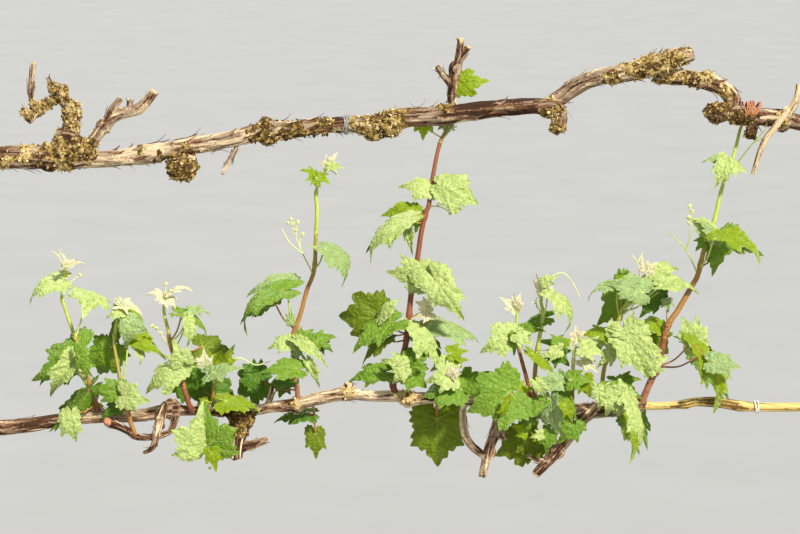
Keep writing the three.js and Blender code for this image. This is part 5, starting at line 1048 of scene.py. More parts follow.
# Where a crust of lichen and moss covers the bark: across, down, out and reach, in millimetres on the
# face, and how pale it is, from 0 for dark and mossy to 1 for cream.
LICHEN_PLACES = [
    [390, 124, 4, 26, 0.4], [368, 126, 4, 22, 0.4], [178, 168, 6, 30, 0.2], [60, 156, 8, 30, 0.35],
    [84, 150, 4, 22, 0.3], [70, 116, 6, 24, 0.45], [58, 96, 4, 18, 0.45], [40, 108, 0, 18, 0.6],
    [26, 112, -2, 10, 0.7], [646, 70, -2, 30, 0.55], [674, 66, 0, 26, 0.6], [700, 80, 0, 22, 0.6],
    [728, 92, 0, 14, 0.6], [712, 112, 0, 22, 0.05], [742, 120, 2, 20, 0.1], [782, 121, 6, 16, 0.5],
    [766, 132, 4, 14, 0.1], [262, 132, 4, 22, 0.1], [292, 130, 4, 24, 0.1], [322, 128, 4, 18, 0.2],
    [550, 110, 2, 18, 0.5], [556, 126, 2, 14, 0.4], [348, 392, 3, 10, 0.9], [407, 397, 4, 12, 0.9],
    [242, 425, 4, 22, 0.0], [226, 412, 4, 20, 0.0], [296, 404, 4, 8, 0.8], [6, 160, 4, 14, 0.8],
    [28, 152, 4, 13, 0.8], [140, 152, 4, 8, 0.3], [446, 108, 2, 12, 0.2], [612, 82, 0, 18, 0.5],
]
# Where the bark is lighter or darker than elsewhere: across, down, out, reach and shift. The two darker
# places on the upper arm, at 430 and 500 across, are painted shadow, where a rail shades the arm; the rest
# make the bark lighter or darker there.
TONE_AND_RAIL_SHADOW_PLACES = [
    [430, 112, 0, 60, -0.2], [500, 110, 0, 50, -0.25], [180, 146, 0, 70, 0.22], [120, 156, 0, 40, 0.2],
    [220, 140, 0, 40, 0.22], [718, 405, 0, 22, -0.9], [380, 396, 0, 60, 0.25], [450, 400, 0, 50, 0.2],
    [130, 415, 0, 60, -0.1], [230, 412, 0, 40, -0.3], [590, 92, 0, 30, 0.15], [280, 404, 0, 40, 0.1],
]
# Where bare or cut wood shows: across, down, out, reach and finish.
CUT_PLACES = [
    [107, 422, 16, 6, "cut_pink"], [696, 52, -2, 8, "cut_red"], [534, 476, 0, 7, "cut_tan"],
    [459, 40, -4, 6, "cut_tan"], [470, 45, -4, 5, "cut_tan"], [155, 90, 5, 6, "cut_tan"],
    [34, 61, -3, 5, "cut_tan"], [481, 478, 6, 5, "cut_red"], [486, 458, 4, 4, "cut_tan"],
    [349, 383, 1, 4, "cut_tan"], [20, 110, -4, 4, "cut_tan"],
]


CRUST_TONES = ["crust_dark", "crust_olive", "crust_ochre", "crust_cream"]
CRUST_STEPS = [0.12, 0.3, 0.7]
CRUST_EDGE = 0.35
CRUST_START = 0.36
SCALE_START = 0.12
SCALES_EACH = 0.17
# The sizes of the patterns in the bark, in millimetres.
WANDER_SIZE = np.array([14, 14, 40])
LARGE_LUMP = 17
SMALL_LUMP = 8
LICHEN_PATCH = 6
GRAIN_SIZE = 1.6
CLOD_SIZE = 4.5
TONE_PATCH = 22
TONE_STEPS = [0.3, 0.52, 0.86]
LICHEN_FINISHES = ["lichen_dark", "lichen", "lichen_pale"]
CUT_FINISHES = ["cut_pink", "cut_red", "cut_tan"]


# The trunk leans a little on its way up and flares at its foot.
def trunk_waypoints():
    lean = [
        [0.0, 0, 0, 1.0], [0.02, 1, 1, 0.8], [0.06, 4, 3, 0.62], [0.2, -4, 6, 0.55], [0.38, -15, 5, 0.52],
        [0.55, -12, -3, 0.5], [0.7, 2, -5, 0.47], [0.85, 8, 0, 0.48], [0.95, 4, 0, 0.5], [1.0, 2, 0, 0.46],
    ]
    rows = []
    for height, x, y, width in lean:
        radius = max(width * TRUNK_FOOT_RADIUS, TRUNK_WAIST_RADIUS * 0.96)
        rows.append([x * MM, y * MM, height * TRUNK_HEIGHT, radius])
    return np.array(rows)


# The centre lines and knots of a limb, in metres.
def limb_lines(limb):
    return [smoothed([waypoint(row) for row in path], 3 * MM) for path in limb["paths"]]


# One closed skin round several overlapping solids.
def joined_skin(name, solids, cell):
    corners, faces = merged(solids)
    mesh = bpy.data.meshes.new(name)
    mesh.from_pydata(corners.tolist(), [], faces)
    rough = bpy.data.objects.new(name + "_rough", mesh)
    bpy.context.scene.collection.objects.link(rough)
    modifier = rough.modifiers.new("skin", "REMESH")
    modifier.mode = "VOXEL"
    modifier.voxel_size = cell * MM
    smooth = rough.modifiers.new("smooth", "SMOOTH")
    smooth.iterations = 2
    depsgraph = bpy.context.evaluated_depsgraph_get()
    made = bpy.data.meshes.new_from_object(rough.evaluated_get(depsgraph))
    bpy.data.objects.remove(rough)
    return made


# Corner places or corner normals of a mesh as an array.
def corner_array(mesh, kind):
    values = np.zeros(len(mesh.vertices) * 3)
    mesh.vertices.foreach_get(kind, values)
    return values.reshape(-1, 3)


# How far corners lie from a place on the face, as shares of a reach in millimetres.
def farness(corners, across, down, out, reach):
    return np.linalg.norm(corners - sighted(across, down, out), axis=1) / (reach * MM)


# For each corner, the place in the grain of the nearest centre line: two numbers across the grain
# and one along it, in millimetres.
def grain(corners, lines):
    stations = np.concatenate([line[:, :3] for line in lines])
    alongs, outs, sides, lengths = [], [], [], []
    for order, line in enumerate(lines):
        along, out, side = line_frame(line[:, :3])
        steps = np.linalg.norm(np.diff(line[:, :3], axis=0), axis=1)
        alongs.append(along)
        outs.append(out)
        sides.append(side)
        lengths.append(np.concatenate([[0], np.cumsum(steps)]) + 0.37 * order)
    along, out, side = np.concatenate(alongs), np.concatenate(outs), np.concatenate(sides)
    length = np.concatenate(lengths)
    tree = KDTree(len(stations))
    for index, place in enumerate(stations):
        tree.insert(place, index)
    tree.balance()
    nearest = np.array([tree.find(corner)[1] for corner in corners])
    offset = corners - stations[nearest]
    run = length[nearest] + (offset * along[nearest]).sum(axis=1)
    rise = (offset * out[nearest]).sum(axis=1)
    drift = (offset * side[nearest]).sum(axis=1)
    return np.stack([rise, drift, run], axis=1) / MM


# How strongly each corner belongs to the crusted places, and how pale the crust is there.
def near(corners, rows):
    weight = np.zeros(len(corners))
    paleness = np.zeros(len(corners))
    for across, down, out, reach, pale in rows:
        gap = farness(corners, across, down, out, reach)
        own = np.exp(-gap * gap * 1.4)
        paleness = np.where(own > weight, pale, paleness)
        weight = np.maximum(weight, own)
    return weight, paleness


# How much lighter or darker the bark is at each corner than its family of finishes, painted rail shadow on
# the upper arm included.
def tone_and_rail_shadow_shift(corners):
    shift = np.zeros(len(corners))
    for across, down, out, reach, amount in TONE_AND_RAIL_SHADOW_PLACES:
        gap = farness(corners, across, down, out, reach)
        shift += amount * np.exp(-gap ** 4)
    return shift


# Small crinkled scales that lie on the crusted bark, each rooted under the skin and curled at its end.
def scales(pile, corners, normals, crust, paleness, seed):
    random = seeded(seed)
    for index in np.nonzero(crust > SCALE_START)[0]:
        if random() > SCALES_EACH * crust[index]:
            continue
        normal = normals[index]
        way = np.array([random() - 0.5, random() - 0.5, random() - 0.5])
        way = unit(way - normal * way.dot(normal))
        way = unit(way + normal * (0.1 + 0.55 * random() ** 2))
        side = unit(np.cross(way, normal))
        rise = np.cross(side, way)
        length = (1.3 + 2.3 * random() ** 2) * MM
        half = length * (0.3 + 0.26 * random())
        curl = length * (0.1 + 0.35 * random())
        skew = side * half * 0.8 * (random() - 0.5)
        root = corners[index] - normal * 0.5 * MM
        spots = [(root, 0.5), (root + way * length * 0.4 + rise * curl * 0.3, 1.0),
                 (root + way * length * 0.8 + rise * curl * 0.8 + skew, 0.85),
                 (root + way * length + rise * curl * 1.3 + skew * 1.6, 0.3)]
        rows = []
        for spot, wide in spots:
            rows += [spot - side * half * wide, spot + rise * 0.3 * MM, spot + side * half * wide,
                     spot - rise * 0.25 * MM]
        draw = random() + 0.7 * (paleness[index] - 0.4)
        tone = CRUST_TONES[np.digitize(draw, CRUST_STEPS)]
        pile.add(np.array(rows), ring_faces(4, 4), tone)


# Raises strips, fissures, lumps and lichen on a joined skin, and deals its faces their finishes, darker in
# low fissures and crust gaps, partly the bark's own colour and partly painted shade there.
def bark_piece(name, solids, lines, replaced, seed, crusts):
    spec = BARKS[name]
    mesh = joined_skin(name, solids, spec["cell"])
    corners = corner_array(mesh, "co")
    normals = corner_array(mesh, "normal")
    place = grain(corners, lines)
    wander = noise(place / WANDER_SIZE, seed) * spec["strip"] * 0.9
    warped = place + wander[:, None] * np.array([1, -0.7, 0])
    cross = spec["strip"]
    plates = noise(warped / np.array([cross, cross, spec["length"]]), seed + 1) * 0.5 + 0.5
    steps = plates * 4
    plates = (np.floor(steps) + np.clip((steps % 1) * 3 - 1, 0, 1)) / 4
    fibres = noise(warped / np.array([cross * 0.38, cross * 0.38, spec["length"] * 0.5]), seed + 2)
    lumps = noise(corners / MM / LARGE_LUMP, seed + 3) + 0.5 * noise(corners / MM / SMALL_LUMP, seed + 4)
    lichen, paleness = near(corners, LICHEN_PLACES)
    lichen += 0.4 * noise(corners / MM / LICHEN_PATCH, seed + 5)
    crust = np.clip((lichen - CRUST_START) * 2.2, 0, 1) * (spec["zone"] not in ("cane", "dead"))
    grains = noise(corners / MM / GRAIN_SIZE, seed + 6)
    clods = noise(corners / MM / CLOD_SIZE, seed + 7)
    height = spec["depth"] * ((plates - 0.55) + 0.28 * fibres) * (1 - 0.6 * crust)
    height += spec["lumps"] * 0.5 * lumps + crust * (0.8 + 1.5 * clods + 0.8 * grains)
    corners = corners + normals * height[:, None] * MM
    corners[:, 2] = np.maximum(corners[:, 2], 0)
    scales(crusts, corners, normals, crust, paleness, seed + 300)
    mesh.vertices.foreach_set("co", corners.ravel())
    shades = SHADES[spec["zone"]]
    finishes = list(dict.fromkeys(shades)) + LICHEN_FINISHES + CUT_FINISHES
    # The tone rises with the raised plates: the low fissures take the darker finishes, partly the bark's
    # darker inner layers and partly painted shade, and the raised strips the lighter ones.
    tone = plates + 0.3 * fibres + 0.42 * noise(corners / MM / TONE_PATCH, seed + 8) + 0.12 * grains
    # This shift darkens two stretches of the upper arm with painted rail shadow.
    tone += tone_and_rail_shadow_shift(corners)
    slots = np.array([finishes.index(name) for name in shades])[np.digitize(tone, TONE_STEPS)]
    # The crust is paler on its raised clods and grains and darker in the gaps between them: painted light
    # on the tops and painted shade in the gaps, over the lichen's own range of colour.
    crusted = grains + 1.2 * clods + 1.6 * (paleness - 0.4)
    lichens = np.array([finishes.index(name) for name in LICHEN_FINISHES])
    slots = np.where(crust > CRUST_EDGE, lichens[np.digitize(crusted, [-0.1, 0.6])], slots)
    for across, down, out, reach, finish in CUT_PLACES:
        slots = np.where(farness(corners, across, down, out, reach) < 0.8, finishes.index(finish), slots)
    first = np.zeros(len(mesh.polygons), int)
    mesh.polygons.foreach_get("loop_start", first)
    owner = np.zeros(len(mesh.loops), int)
    mesh.loops.foreach_get("vertex_index", owner)
    dress(mesh, finishes, slots[owner[first]].astype(np.int32))
    add_piece(name, mesh, replaced)


# Thin shreds of bark that have come loose along a line, each lifting and curling at its ends.
def shreds(pile, lines, count, long_mm, wide_mm, lift_mm, finishes, seed):
    random = seeded(seed)
    for number in range(count):
        line = lines[int(random() * len(lines))]
        along, out, side = line_frame(line[:, :3])
        span = max(4, int(long_mm * (0.4 + 0.8 * random()) / 3))
        start = int(random() * max(1, len(line) - span))
        turn = 2 * math.pi * random()
        drift = (random() - 0.5) * 0.9
        curl = lift_mm * (0.3 + 1.4 * random() ** 2)
        width = wide_mm * (0.5 + 0.9 * random())
        both = random() < 0.3
        rows = []
        last = min(start + span, len(line) - 1)
        for index in range(start, last + 1):
            share = (index - start) / max(last - start, 1)
            angle = turn + drift * share
            outward = out[index] * math.cos(angle) + side[index] * math.sin(angle)
            around = side[index] * math.cos(angle) - out[index] * math.sin(angle)
            loose = max(0, share - 0.45) ** 2 * 3.3
            if both:
                loose += max(0, 0.35 - share) ** 2 * 5
            reach = line[index, 3] + (0.35 + curl * loose) * MM
            half = width * 0.5 * MM * math.sin(math.pi * (0.08 + 0.86 * share)) ** 0.6
            middle = line[index, :3] + outward * reach
            thick = outward * 0.22 * MM
            rows += [middle - around * half, middle + thick, middle + around * half, middle - thick * 1.6]
        if last - start < 3:
            continue
        pile.add(np.array(rows), ring_faces(last - start + 1, 4), finishes[int(random() * len(finishes))])


# Every woody limb: its skin with bark on, and its loose shreds.
def woody_parts():
    limbs = {limb["name"]: limb for limb in LIMBS}
    trunk = smoothed(trunk_waypoints(), 6 * MM)
    trunk_solids = [tube(trunk, 40)]
    trunk_solids.append(lump(np.array([2 * MM, 0, TRUNK_HEIGHT - 8 * MM]), 27 * MM, 24 * MM, 20, 0.25, 5))
    trunk_solids.append(lump(np.array([10 * MM, -2 * MM, 0.905]), 26 * MM, 30 * MM, 20, 0.25, 9))
    crusts = Pile("crust_scales", CRUST_TONES, "bark", [])
    bark_piece("trunk_bark", trunk_solids, [trunk], ["trunk"], 11, crusts)
    flakes = Pile("bark_shreds", ["trunk_grey", "trunk_light", "trunk_brown", "arm_grey", "arm_light",
                                  "arm_brown", "low_grey", "low_light", "cut_tan"], "bark", [])
    shreds(flakes, [trunk], 170, 80, 4.2, 4.5, ["trunk_grey", "trunk_light", "trunk_brown"], 3)
    loose = {"upper_arm_bark": [260, 26, 3.2, 5], "old_spur_bark": [70, 15, 2.2, 4],
             "lower_arm_bark": [130, 24, 2.0, 3], "stub_bark": [50, 14, 1.6, 3]}
    for order, (name, members) in enumerate(MEMBERS.items()):
        solids = []
        lines = []
        for member in members:
            limb = limbs[member]
            own = limb_lines(limb)
            lines += own
            solids += [tube(line, 20) for line in own]
            for number, (across, down, out, wide, tall) in enumerate(limb["knots"]):
                centre = sighted(across, down, out)
                solids.append(lump(centre, wide * MM, tall * MM, 14, 0.3, 30 * order + number))
        bark_piece(name, solids, lines, members, 20 + 9 * order, crusts)
        if name in loose:
            count, long_mm, wide_mm, lift_mm = loose[name]
            zone = "low" if name in ("lower_arm_bark", "stub_bark") else "arm"
            tones = [zone + "_grey", zone + "_light", "arm_brown"]
            shreds(flakes, lines, count, long_mm, wide_mm, lift_mm, tones, 40 + order)
    flakes.piece()
    crusts.piece()

# The frame of a blade: where it starts, how its midrib bends and how each half spreads. A row gives
# either the angles the blade faces or the places of its two side lobes.
def blade_frame(row, nudge):
    lobed = isinstance(row[4], list)
    at = sighted(row[2][0], row[2][1], row[2][2] + nudge)
    tip = sighted(row[3][0], row[3][1], row[3][2] + nudge)
    chord = np.linalg.norm(tip - at)
    along = (tip - at) / chord
    half = math.radians(max(row[6] if lobed else row[8], 1)) / 2
    length = chord * half / math.sin(half)
    if lobed:
        face, sides = lobed_spread(row, nudge, at, tip, along, length)
    else:
        face, sides = faced_spread(row, along, length)
    return {
        "at": at, "along": along, "face": face, "sides": sides, "half": half, "length": length,
        "base": row[7] if lobed and len(row) > 7 else 1,
    }


# How a blade spreads that is given by the angles it faces, its width and the fold of its halves.
def faced_spread(row, along, length):
    up = math.radians(row[4])
    side = math.radians(row[5])
    fold = math.radians(row[7])
    level = VIEWER * math.cos(side) + RIGHT * math.sin(side)
    face = level * math.cos(up) + SKY * math.sin(up)
    face = unit(face - along * face.dot(along))
    across = np.cross(face, along)
    size = row[6] * length
    return face, [(way * across * math.cos(fold) + face * math.sin(fold)) * size for way in (1, -1)]


# How a blade spreads that is given by the places of its side lobes and the share of the length
# left over that takes each lobe toward the viewer or away.
def lobed_spread(row, nudge, at, tip, along, length):
    middle = at + (tip - at) * LOBE_FORWARD
    out = row[2][2] + (row[3][2] - row[2][2]) * LOBE_FORWARD + nudge
    sides = []
    for across, down, share in (row[4], row[5]):
        flat = (sighted(across, down, out) - middle) / LOBE_SIDEWAYS
        spare = math.sqrt(max(length ** 2 - flat.dot(flat), 0)) * share / MM
        sides.append((sighted(across, down, out + LOBE_SIDEWAYS * spare) - middle) / LOBE_SIDEWAYS)
    face = unit(np.cross(along, sides[0] - sides[1]))
    if face.dot(VIEWER) < 0:
        return -face, sides[::-1]
    return face, sides


# Points of a blade at angles and reaches from where stalk and blade meet, raised by lifts.
def blade_points(blade, angles, reaches, lifts):
    length, half = blade["length"], blade["half"]
    forward = length * reaches * np.cos(angles)
    heading = half - np.maximum(forward / length, 0) * 2 * half
    radius = length / (2 * half)
    behind = forward < 0
    run = np.where(behind, forward * math.cos(half), radius * (math.sin(half) - np.sin(heading)))
    rise = np.where(behind, forward * math.sin(half), radius * (np.cos(heading) - math.cos(half)))
    raised = lifts - EDGE_DROP * length * reaches * reaches
    points = blade["at"] + np.outer(run - raised * np.sin(heading), blade["along"])
    points += np.outer(rise + raised * np.cos(heading), blade["face"])
    sideways = reaches * np.sin(angles)
    points += np.outer(np.maximum(sideways, 0), blade["sides"][0])
    return points + np.outer(np.maximum(-sideways, 0), blade["sides"][1])


# Lobes of a blade as angles from the midrib and reaches, both sides alike: grown, and just unfolded.
LOBES = np.array([
    [0, 1.0], [8, 0.92], [17, 0.82], [27, 0.73], [35, 0.76], [43, 0.83], [48, 0.86], [55, 0.78], [64, 0.68],
    [74, 0.62], [86, 0.64], [97, 0.68], [104, 0.69], [113, 0.64], [126, 0.58], [140, 0.52], [154, 0.42],
    [165, 0.27], [173, 0.1], [180, 0.03],
])
DEEP_LOBES = np.array([
    [0, 1.0], [9, 0.82], [19, 0.6], [28, 0.47], [36, 0.56], [44, 0.74], [49, 0.78], [57, 0.66], [68, 0.48],
    [79, 0.42], [91, 0.49], [102, 0.56], [108, 0.56], [118, 0.47], [134, 0.38], [150, 0.28], [165, 0.16],
    [174, 0.06], [180, 0.03],
])
VEIN_ANGLES = np.radians([0, 47, -47, 104, -104])
EDGE_DEGREES = 170
PLEAT_SPAN = math.radians(27)
RIB_GAP = 0.17
RIB_SLANT = 0.55
BRANCH_SPREAD = math.radians(46)
BRANCH_STEP = 0.03
SHORTEST_BRANCH = 0.07
LONGEST_BRANCH = 0.6
CROSSING = 0.16
VEIN_STEPS = 6


# Smooth reach of the blade's edge at an angle, between the two kinds of lobes, with the rear lobes
# drawn in or out.
def edge_reach(angles, lobing, base):
    degrees = np.degrees(np.abs(angles))
    grown = np.interp(degrees, LOBES[:, 0], LOBES[:, 1])
    reach = grown + lobing * (np.interp(degrees, DEEP_LOBES[:, 0], DEEP_LOBES[:, 1]) - grown)
    return reach * (1 + (base - 1) * np.clip((degrees - REAR_LOBE_DEGREES) / REAR_LOBE_SPAN, 0, 1))


# The surface of a blade above its plain shape: pleats, ribs and puckers, waves and a turned-down edge.
def relief(angles, reaches, mood):
    gap = np.min(np.abs(angles[:, None] - VEIN_ANGLES[None, :]), axis=1)
    pleat = np.sin(np.pi * np.clip(gap / PLEAT_SPAN, 0, 1)) * reaches * mood["pleat"]
    x = reaches * np.cos(angles)
    y = reaches * np.sin(angles)
    ribs = np.cos(2 * np.pi * (x - np.abs(y) * RIB_SLANT) / RIB_GAP) * reaches * mood["ribs"]
    edge = reaches ** 3
    waves = mood["wave"] * edge * np.sin(4 * angles + mood["turn"])
    waves += 0.7 * mood["wave"] * edge * np.sin(9 * angles + 2.3 * mood["turn"])
    flat = np.full(len(x), mood["turn"])
    spots = noise(np.stack([x * 6, y * 6, flat * 3], axis=1), 3) * mood["pucker"]
    spots += noise(np.stack([x * 17, y * 17, flat], axis=1), 5) * mood["pucker"] * 0.6
    hang = mood["hang"] * np.maximum(reaches - 0.4, 0) ** 2
    return pleat - ribs + waves + spots * np.minimum(reaches * 4, 1) - hang + mood["twist"] * x * y


# How restless a blade is, by its tone and its own seeded numbers.
def mood_of(tone, size, random):
    young = tone.startswith("woolly") or size < 22 * MM
    return {
        "lobing": (0.45 + 0.4 * random()) if young else 0.04 + 0.34 * random(),
        "pleat": (0.09 if young else 0.04) * (0.7 + 0.7 * random()),
        "ribs": 0.007 if size < 30 * MM else 0.014,
        "wave": (0.07 if young else 0.04) * (0.5 + random()),
        "pucker": 0.03 if young else 0.027,
        "hang": 0.15 + 0.65 * random(),
        "twist": 0.36 * (random() - 0.5),
        "turn": 6.28 * random(),
    }


# One side of the edge as angles in degrees and how far each tooth stands out or in.
def side_columns(teeth, random):
    widths = [(1.25 if tooth % 2 == 0 else 0.78) * (0.82 + 0.36 * random()) for tooth in range(teeth)]
    columns = [(0.0, 1.2)]
    reached = 0.0
    bite = 1.0
    for tooth, width in enumerate(widths):
        span = EDGE_DEGREES * width / sum(widths)
        columns.append((reached + 0.24 * span, 0.5 * bite))
        following = (0.95 if tooth % 2 else 0.55) + 0.4 * random()
        columns.append((reached + 0.52 * span, -0.42 * (bite + following)))
        bite = following
        reached += span
        columns.append((reached, bite if tooth < teeth - 1 else 0))
    return columns


# A toothed blade: a grid from the stalk to the edge, upper and under side in one skin.
def add_blade(pile, blade, tone, under, mood, random):
    size = blade["length"]
    grade = 2 if size > LARGE_BLADE else 1 if size > MIDDLING_BLADE else 0
    teeth = [8, 10, 12][grade]
    inner = [0.1, 0.22, 0.34, 0.47, 0.6, 0.73, 0.86] if grade else [0.16, 0.36, 0.58, 0.8]
    left = side_columns(teeth, random)
    right = side_columns(teeth, random)
    columns = left[::-1] + [(-angle, stand) for angle, stand in right[1:]]
    angles = np.radians([column[0] for column in columns])
    stands = np.array([column[1] for column in columns])
    base = edge_reach(angles, mood["lobing"], blade["base"])
    depth = [0.095, 0.08, 0.07][grade]
    rim = base + depth * stands * np.clip(base, 0.35, 1)
    rings = [base * share for share in inner] + [rim]
    count = len(angles)
    corners = []
    for layer in (1, -1):
        centre = relief(np.zeros(1), np.zeros(1), mood) * size + layer * LEAF_THICKNESS / 2
        corners.append(blade_points(blade, np.zeros(1), np.zeros(1), centre))
        for reach in rings[:-1]:
            lift = relief(angles, reach, mood) * size + layer * LEAF_THICKNESS / 2
            corners.append(blade_points(blade, angles, reach, lift))
    corners.append(blade_points(blade, angles, rim, relief(angles, rim, mood) * size))
    corners = np.concatenate(corners)
    layer_size = 1 + count * len(inner)
    upper = sheet_faces(0, 2 * layer_size, count, len(rings))
    lower = sheet_faces(layer_size, 2 * layer_size, count, len(rings))
    # A tone of two words paints one half of the upper side lit and the other half shaded.
    halves = tone.split()
    middle = len(upper) // 2
    pile.add(corners, upper[:middle], halves[0])
    pile.extend(upper[middle:], halves[-1], len(corners))
    pile.extend([face[::-1] for face in lower], under, len(corners))


# Faces of one side of a blade, from its first corner out to the rim that both sides share.
def sheet_faces(start, edge, count, rings):
    faces = []

    def corner(ring, column):
        return edge + column if ring == rings - 1 else start + 1 + ring * count + column

    for column in range(count - 1):
        faces.append((start, corner(0, column + 1), corner(0, column)))
        for ring in range(rings - 1):
            faces.append((corner(ring, column), corner(ring, column + 1),
                          corner(ring + 1, column + 1), corner(ring + 1, column)))
    return faces


# A vein as a low ridge along a run of places on the blade, given in shares of its length.
def add_vein(pile, blade, mood, start, end, wide, finish, layer=1, bow=0.0):
    share = np.linspace(0, 1, VEIN_STEPS + 1)[:, None]
    start, end = np.array(start), np.array(end)
    reach = end - start
    square = np.array([-reach[1], reach[0]])
    middle = start + reach * share + square * bow * (4 * share * (1 - share))
    way = square / max(np.linalg.norm(square), 1e-9)
    half = wide * (1 - 0.7 * share) * MM / blade["length"]
    rows = []
    for side, lift in ((-1, -0.02), (0, 0.2), (1, -0.02)):
        places = middle + way * half * side
        angles = np.arctan2(places[:, 1], places[:, 0])
        reaches = np.hypot(places[:, 0], places[:, 1])
        raise_by = relief(angles, reaches, mood) * blade["length"]
        raise_by += layer * (LEAF_THICKNESS / 2 + (lift + 0.06) * MM)
        rows.append(blade_points(blade, angles, reaches, raise_by))
    corners = np.concatenate(rows)
    faces = []
    for step in range(VEIN_STEPS):
        for side in range(2):
            a = side * (VEIN_STEPS + 1) + step
            b = a + VEIN_STEPS + 1
            face = (a, a + 1, b + 1, b)
            faces.append(face if layer > 0 else face[::-1])
    pile.add(corners, faces, finish)


# All veins of a blade: five from the stalk, and pairs that leave them toward the teeth.
def add_veins(pile, blade, mood, finish, under_finish):
    size = blade["length"]
    wide = 0.42 if size > 45 * MM else 0.34 if size > 28 * MM else 0.26
    for angle in VEIN_ANGLES:
        reach = edge_reach(np.array([angle]), mood["lobing"], blade["base"])[0] * 0.95
        tip = [reach * math.cos(angle), reach * math.sin(angle)]
        add_vein(pile, blade, mood, [0, 0], tip, wide, finish)
        if size > 30 * MM:
            add_vein(pile, blade, mood, [0, 0], tip, wide, under_finish, -1)
        if size < 26 * MM:
            continue
        branches = [0.2, 0.37, 0.54, 0.7, 0.84] if size > 40 * MM else [0.25, 0.45, 0.65, 0.82]
        for share in branches:
            for side in (1, -1):
                if abs(angle) > 1.5 and side * angle < 0:
                    continue
                away = angle + side * BRANCH_SPREAD
                foot = np.array([math.cos(angle), math.sin(angle)]) * reach * share
                ray = np.array([math.cos(away), math.sin(away)])
                run = 0.05
                while run < LONGEST_BRANCH:
                    place = foot + ray * (run + BRANCH_STEP)
                    turn = math.atan2(place[1], place[0])
                    edge = edge_reach(np.array([turn]), mood["lobing"], blade["base"])[0]
                    inside = np.hypot(*place) < edge * 0.95
                    nearest = np.abs(turn - VEIN_ANGLES)
                    crossing = np.min(np.where(np.abs(VEIN_ANGLES - angle) < 0.01, 9, nearest)) < CROSSING
                    if not inside or crossing:
                        break
                    run += BRANCH_STEP
                if run > SHORTEST_BRANCH:
                    add_vein(pile, blade, mood, foot, foot + ray * run, wide * 0.6, finish, 1, side * -0.06)


# The low outline of a blade, for telling whether it meets another.
def blade_outline(blade):
    degrees = np.array([160, 130, 104, 74, 46, 22, 0, -22, -46, -74, -104, -130, -160])
    reaches = edge_reach(np.radians(degrees), 0.1, blade["base"])
    points = blade_points(blade, np.radians(degrees), reaches, np.zeros(len(degrees)))
    corners = [Vector(blade["at"])] + [Vector(point) for point in points]
    faces = [(0, number, number + 1) for number in range(1, len(degrees))]
    return BVHTree.FromPolygons(corners, faces), np.array(corners).min(0), np.array(corners).max(0)


# Whether the boxes of two search trees meet.
def boxes_meet(one, other):
    return not (np.any(one[1] > other[2]) or np.any(one[2] < other[1]))


# The station of a stem at a height down the face.
def station_at(rows, down):
    for start, end in zip(rows[:-1], rows[1:]):
        low, high = min(start[1], end[1]), max(start[1], end[1])
        if low <= down <= high and high > low:
            share = (down - start[1]) / (end[1] - start[1])
            return [value + (end[number] - value) * share for number, value in enumerate(start)]
    return rows[-1] if down < rows[-1][1] else rows[0]


# A shoot outside the looked-at face: a stem of nodes with a leaf on alternate sides.
def rule_shoot(rule):
    random = seeded(rule["seed"])
    across, down, out = rule["foot"]
    stem = [[across, down, out, 2.6]]
    leaves = []
    # Deep and mid here are leaf green painted in shade, pale is painted sun and backlit a painted glow
    # through the leaf; woolly is the young leaves' own colour.
    tones = ["deep", "mid", "mid", "pale", "pale", "backlit", "woolly"]
    for node in range(1, rule["nodes"] + 1):
        across += rule["lean"] * (0.6 + 0.8 * random())
        down -= rule["spacing"] * (0.85 + 0.3 * random())
        out += rule["out"] * (0.5 - random()) * 0.8
        stem.append([across, down, out, 2.6 - 1.5 * node / rule["nodes"]])
        side = 1 if node % 2 == 0 else -1
        size = rule["blade"] * (1.1 - 0.6 * node / rule["nodes"])
        depth = (random() - 0.5) * 70
        stalk = 0.7 * size
        base = [across + side * stalk * 0.8, down - stalk * 0.3, out + depth * 0.5]
        fall = size * (0.2 + 0.5 * random())
        tip = [base[0] + side * size * 0.8, base[1] + fall, base[2] + depth * 0.5]
        up = 20 + 40 * random()
        leaves.append([tones[min(node, len(tones) - 1)], down, base, tip, up, side * 10, 1, 6, 25])
        if node % 2 == 1 and node < rule["nodes"] - 1:
            behind = -1 if depth > 0 else 1
            second = [across - side * stalk * 0.5, down + 8, out + behind * (18 + 14 * random())]
            end = [second[0] - side * size * 0.6, second[1] + size * 0.5, second[2] + behind * 10]
            leaves.append(["mid", down, second, end, 30, -side * 20, 0.95, 6, 25])
    return {"name": rule["name"], "stem": stem, "stalks": [], "buds": [], "leaves": leaves}


# Leaves behind the front ones, so that the vine is full from every side.
def back_leaves(shoot, seed):
    random = seeded(seed)
    added = []
    for row in shoot["leaves"]:
        start, end = row[2], row[3]
        if math.hypot(end[0] - start[0], end[1] - start[1]) < BACK_LEAF_SIZE or start[2] < BACK_LEAF_OUT:
            continue
        shift = BACK_SHIFT + BACK_SHIFT_SPREAD * random()
        at = [start[axis] + (end[axis] - start[axis]) * BACK_START for axis in (0, 1)]
        tip = [start[axis] + (end[axis] - start[axis]) * BACK_END for axis in (0, 1)]
        faced = not isinstance(row[4], list)
        up = row[4] if faced else BACK_TILT
        width = row[6] if faced else BACK_WIDTH
        # Leaves behind take the deep tone, the leaf green painted in shade.
        added.append(["deep", row[1], [*at, start[2] - shift], [*tip, end[2] - shift - BACK_LEAN],
                      180 - up * 0.8, 0, width * 0.8, 4, 10])
    return added


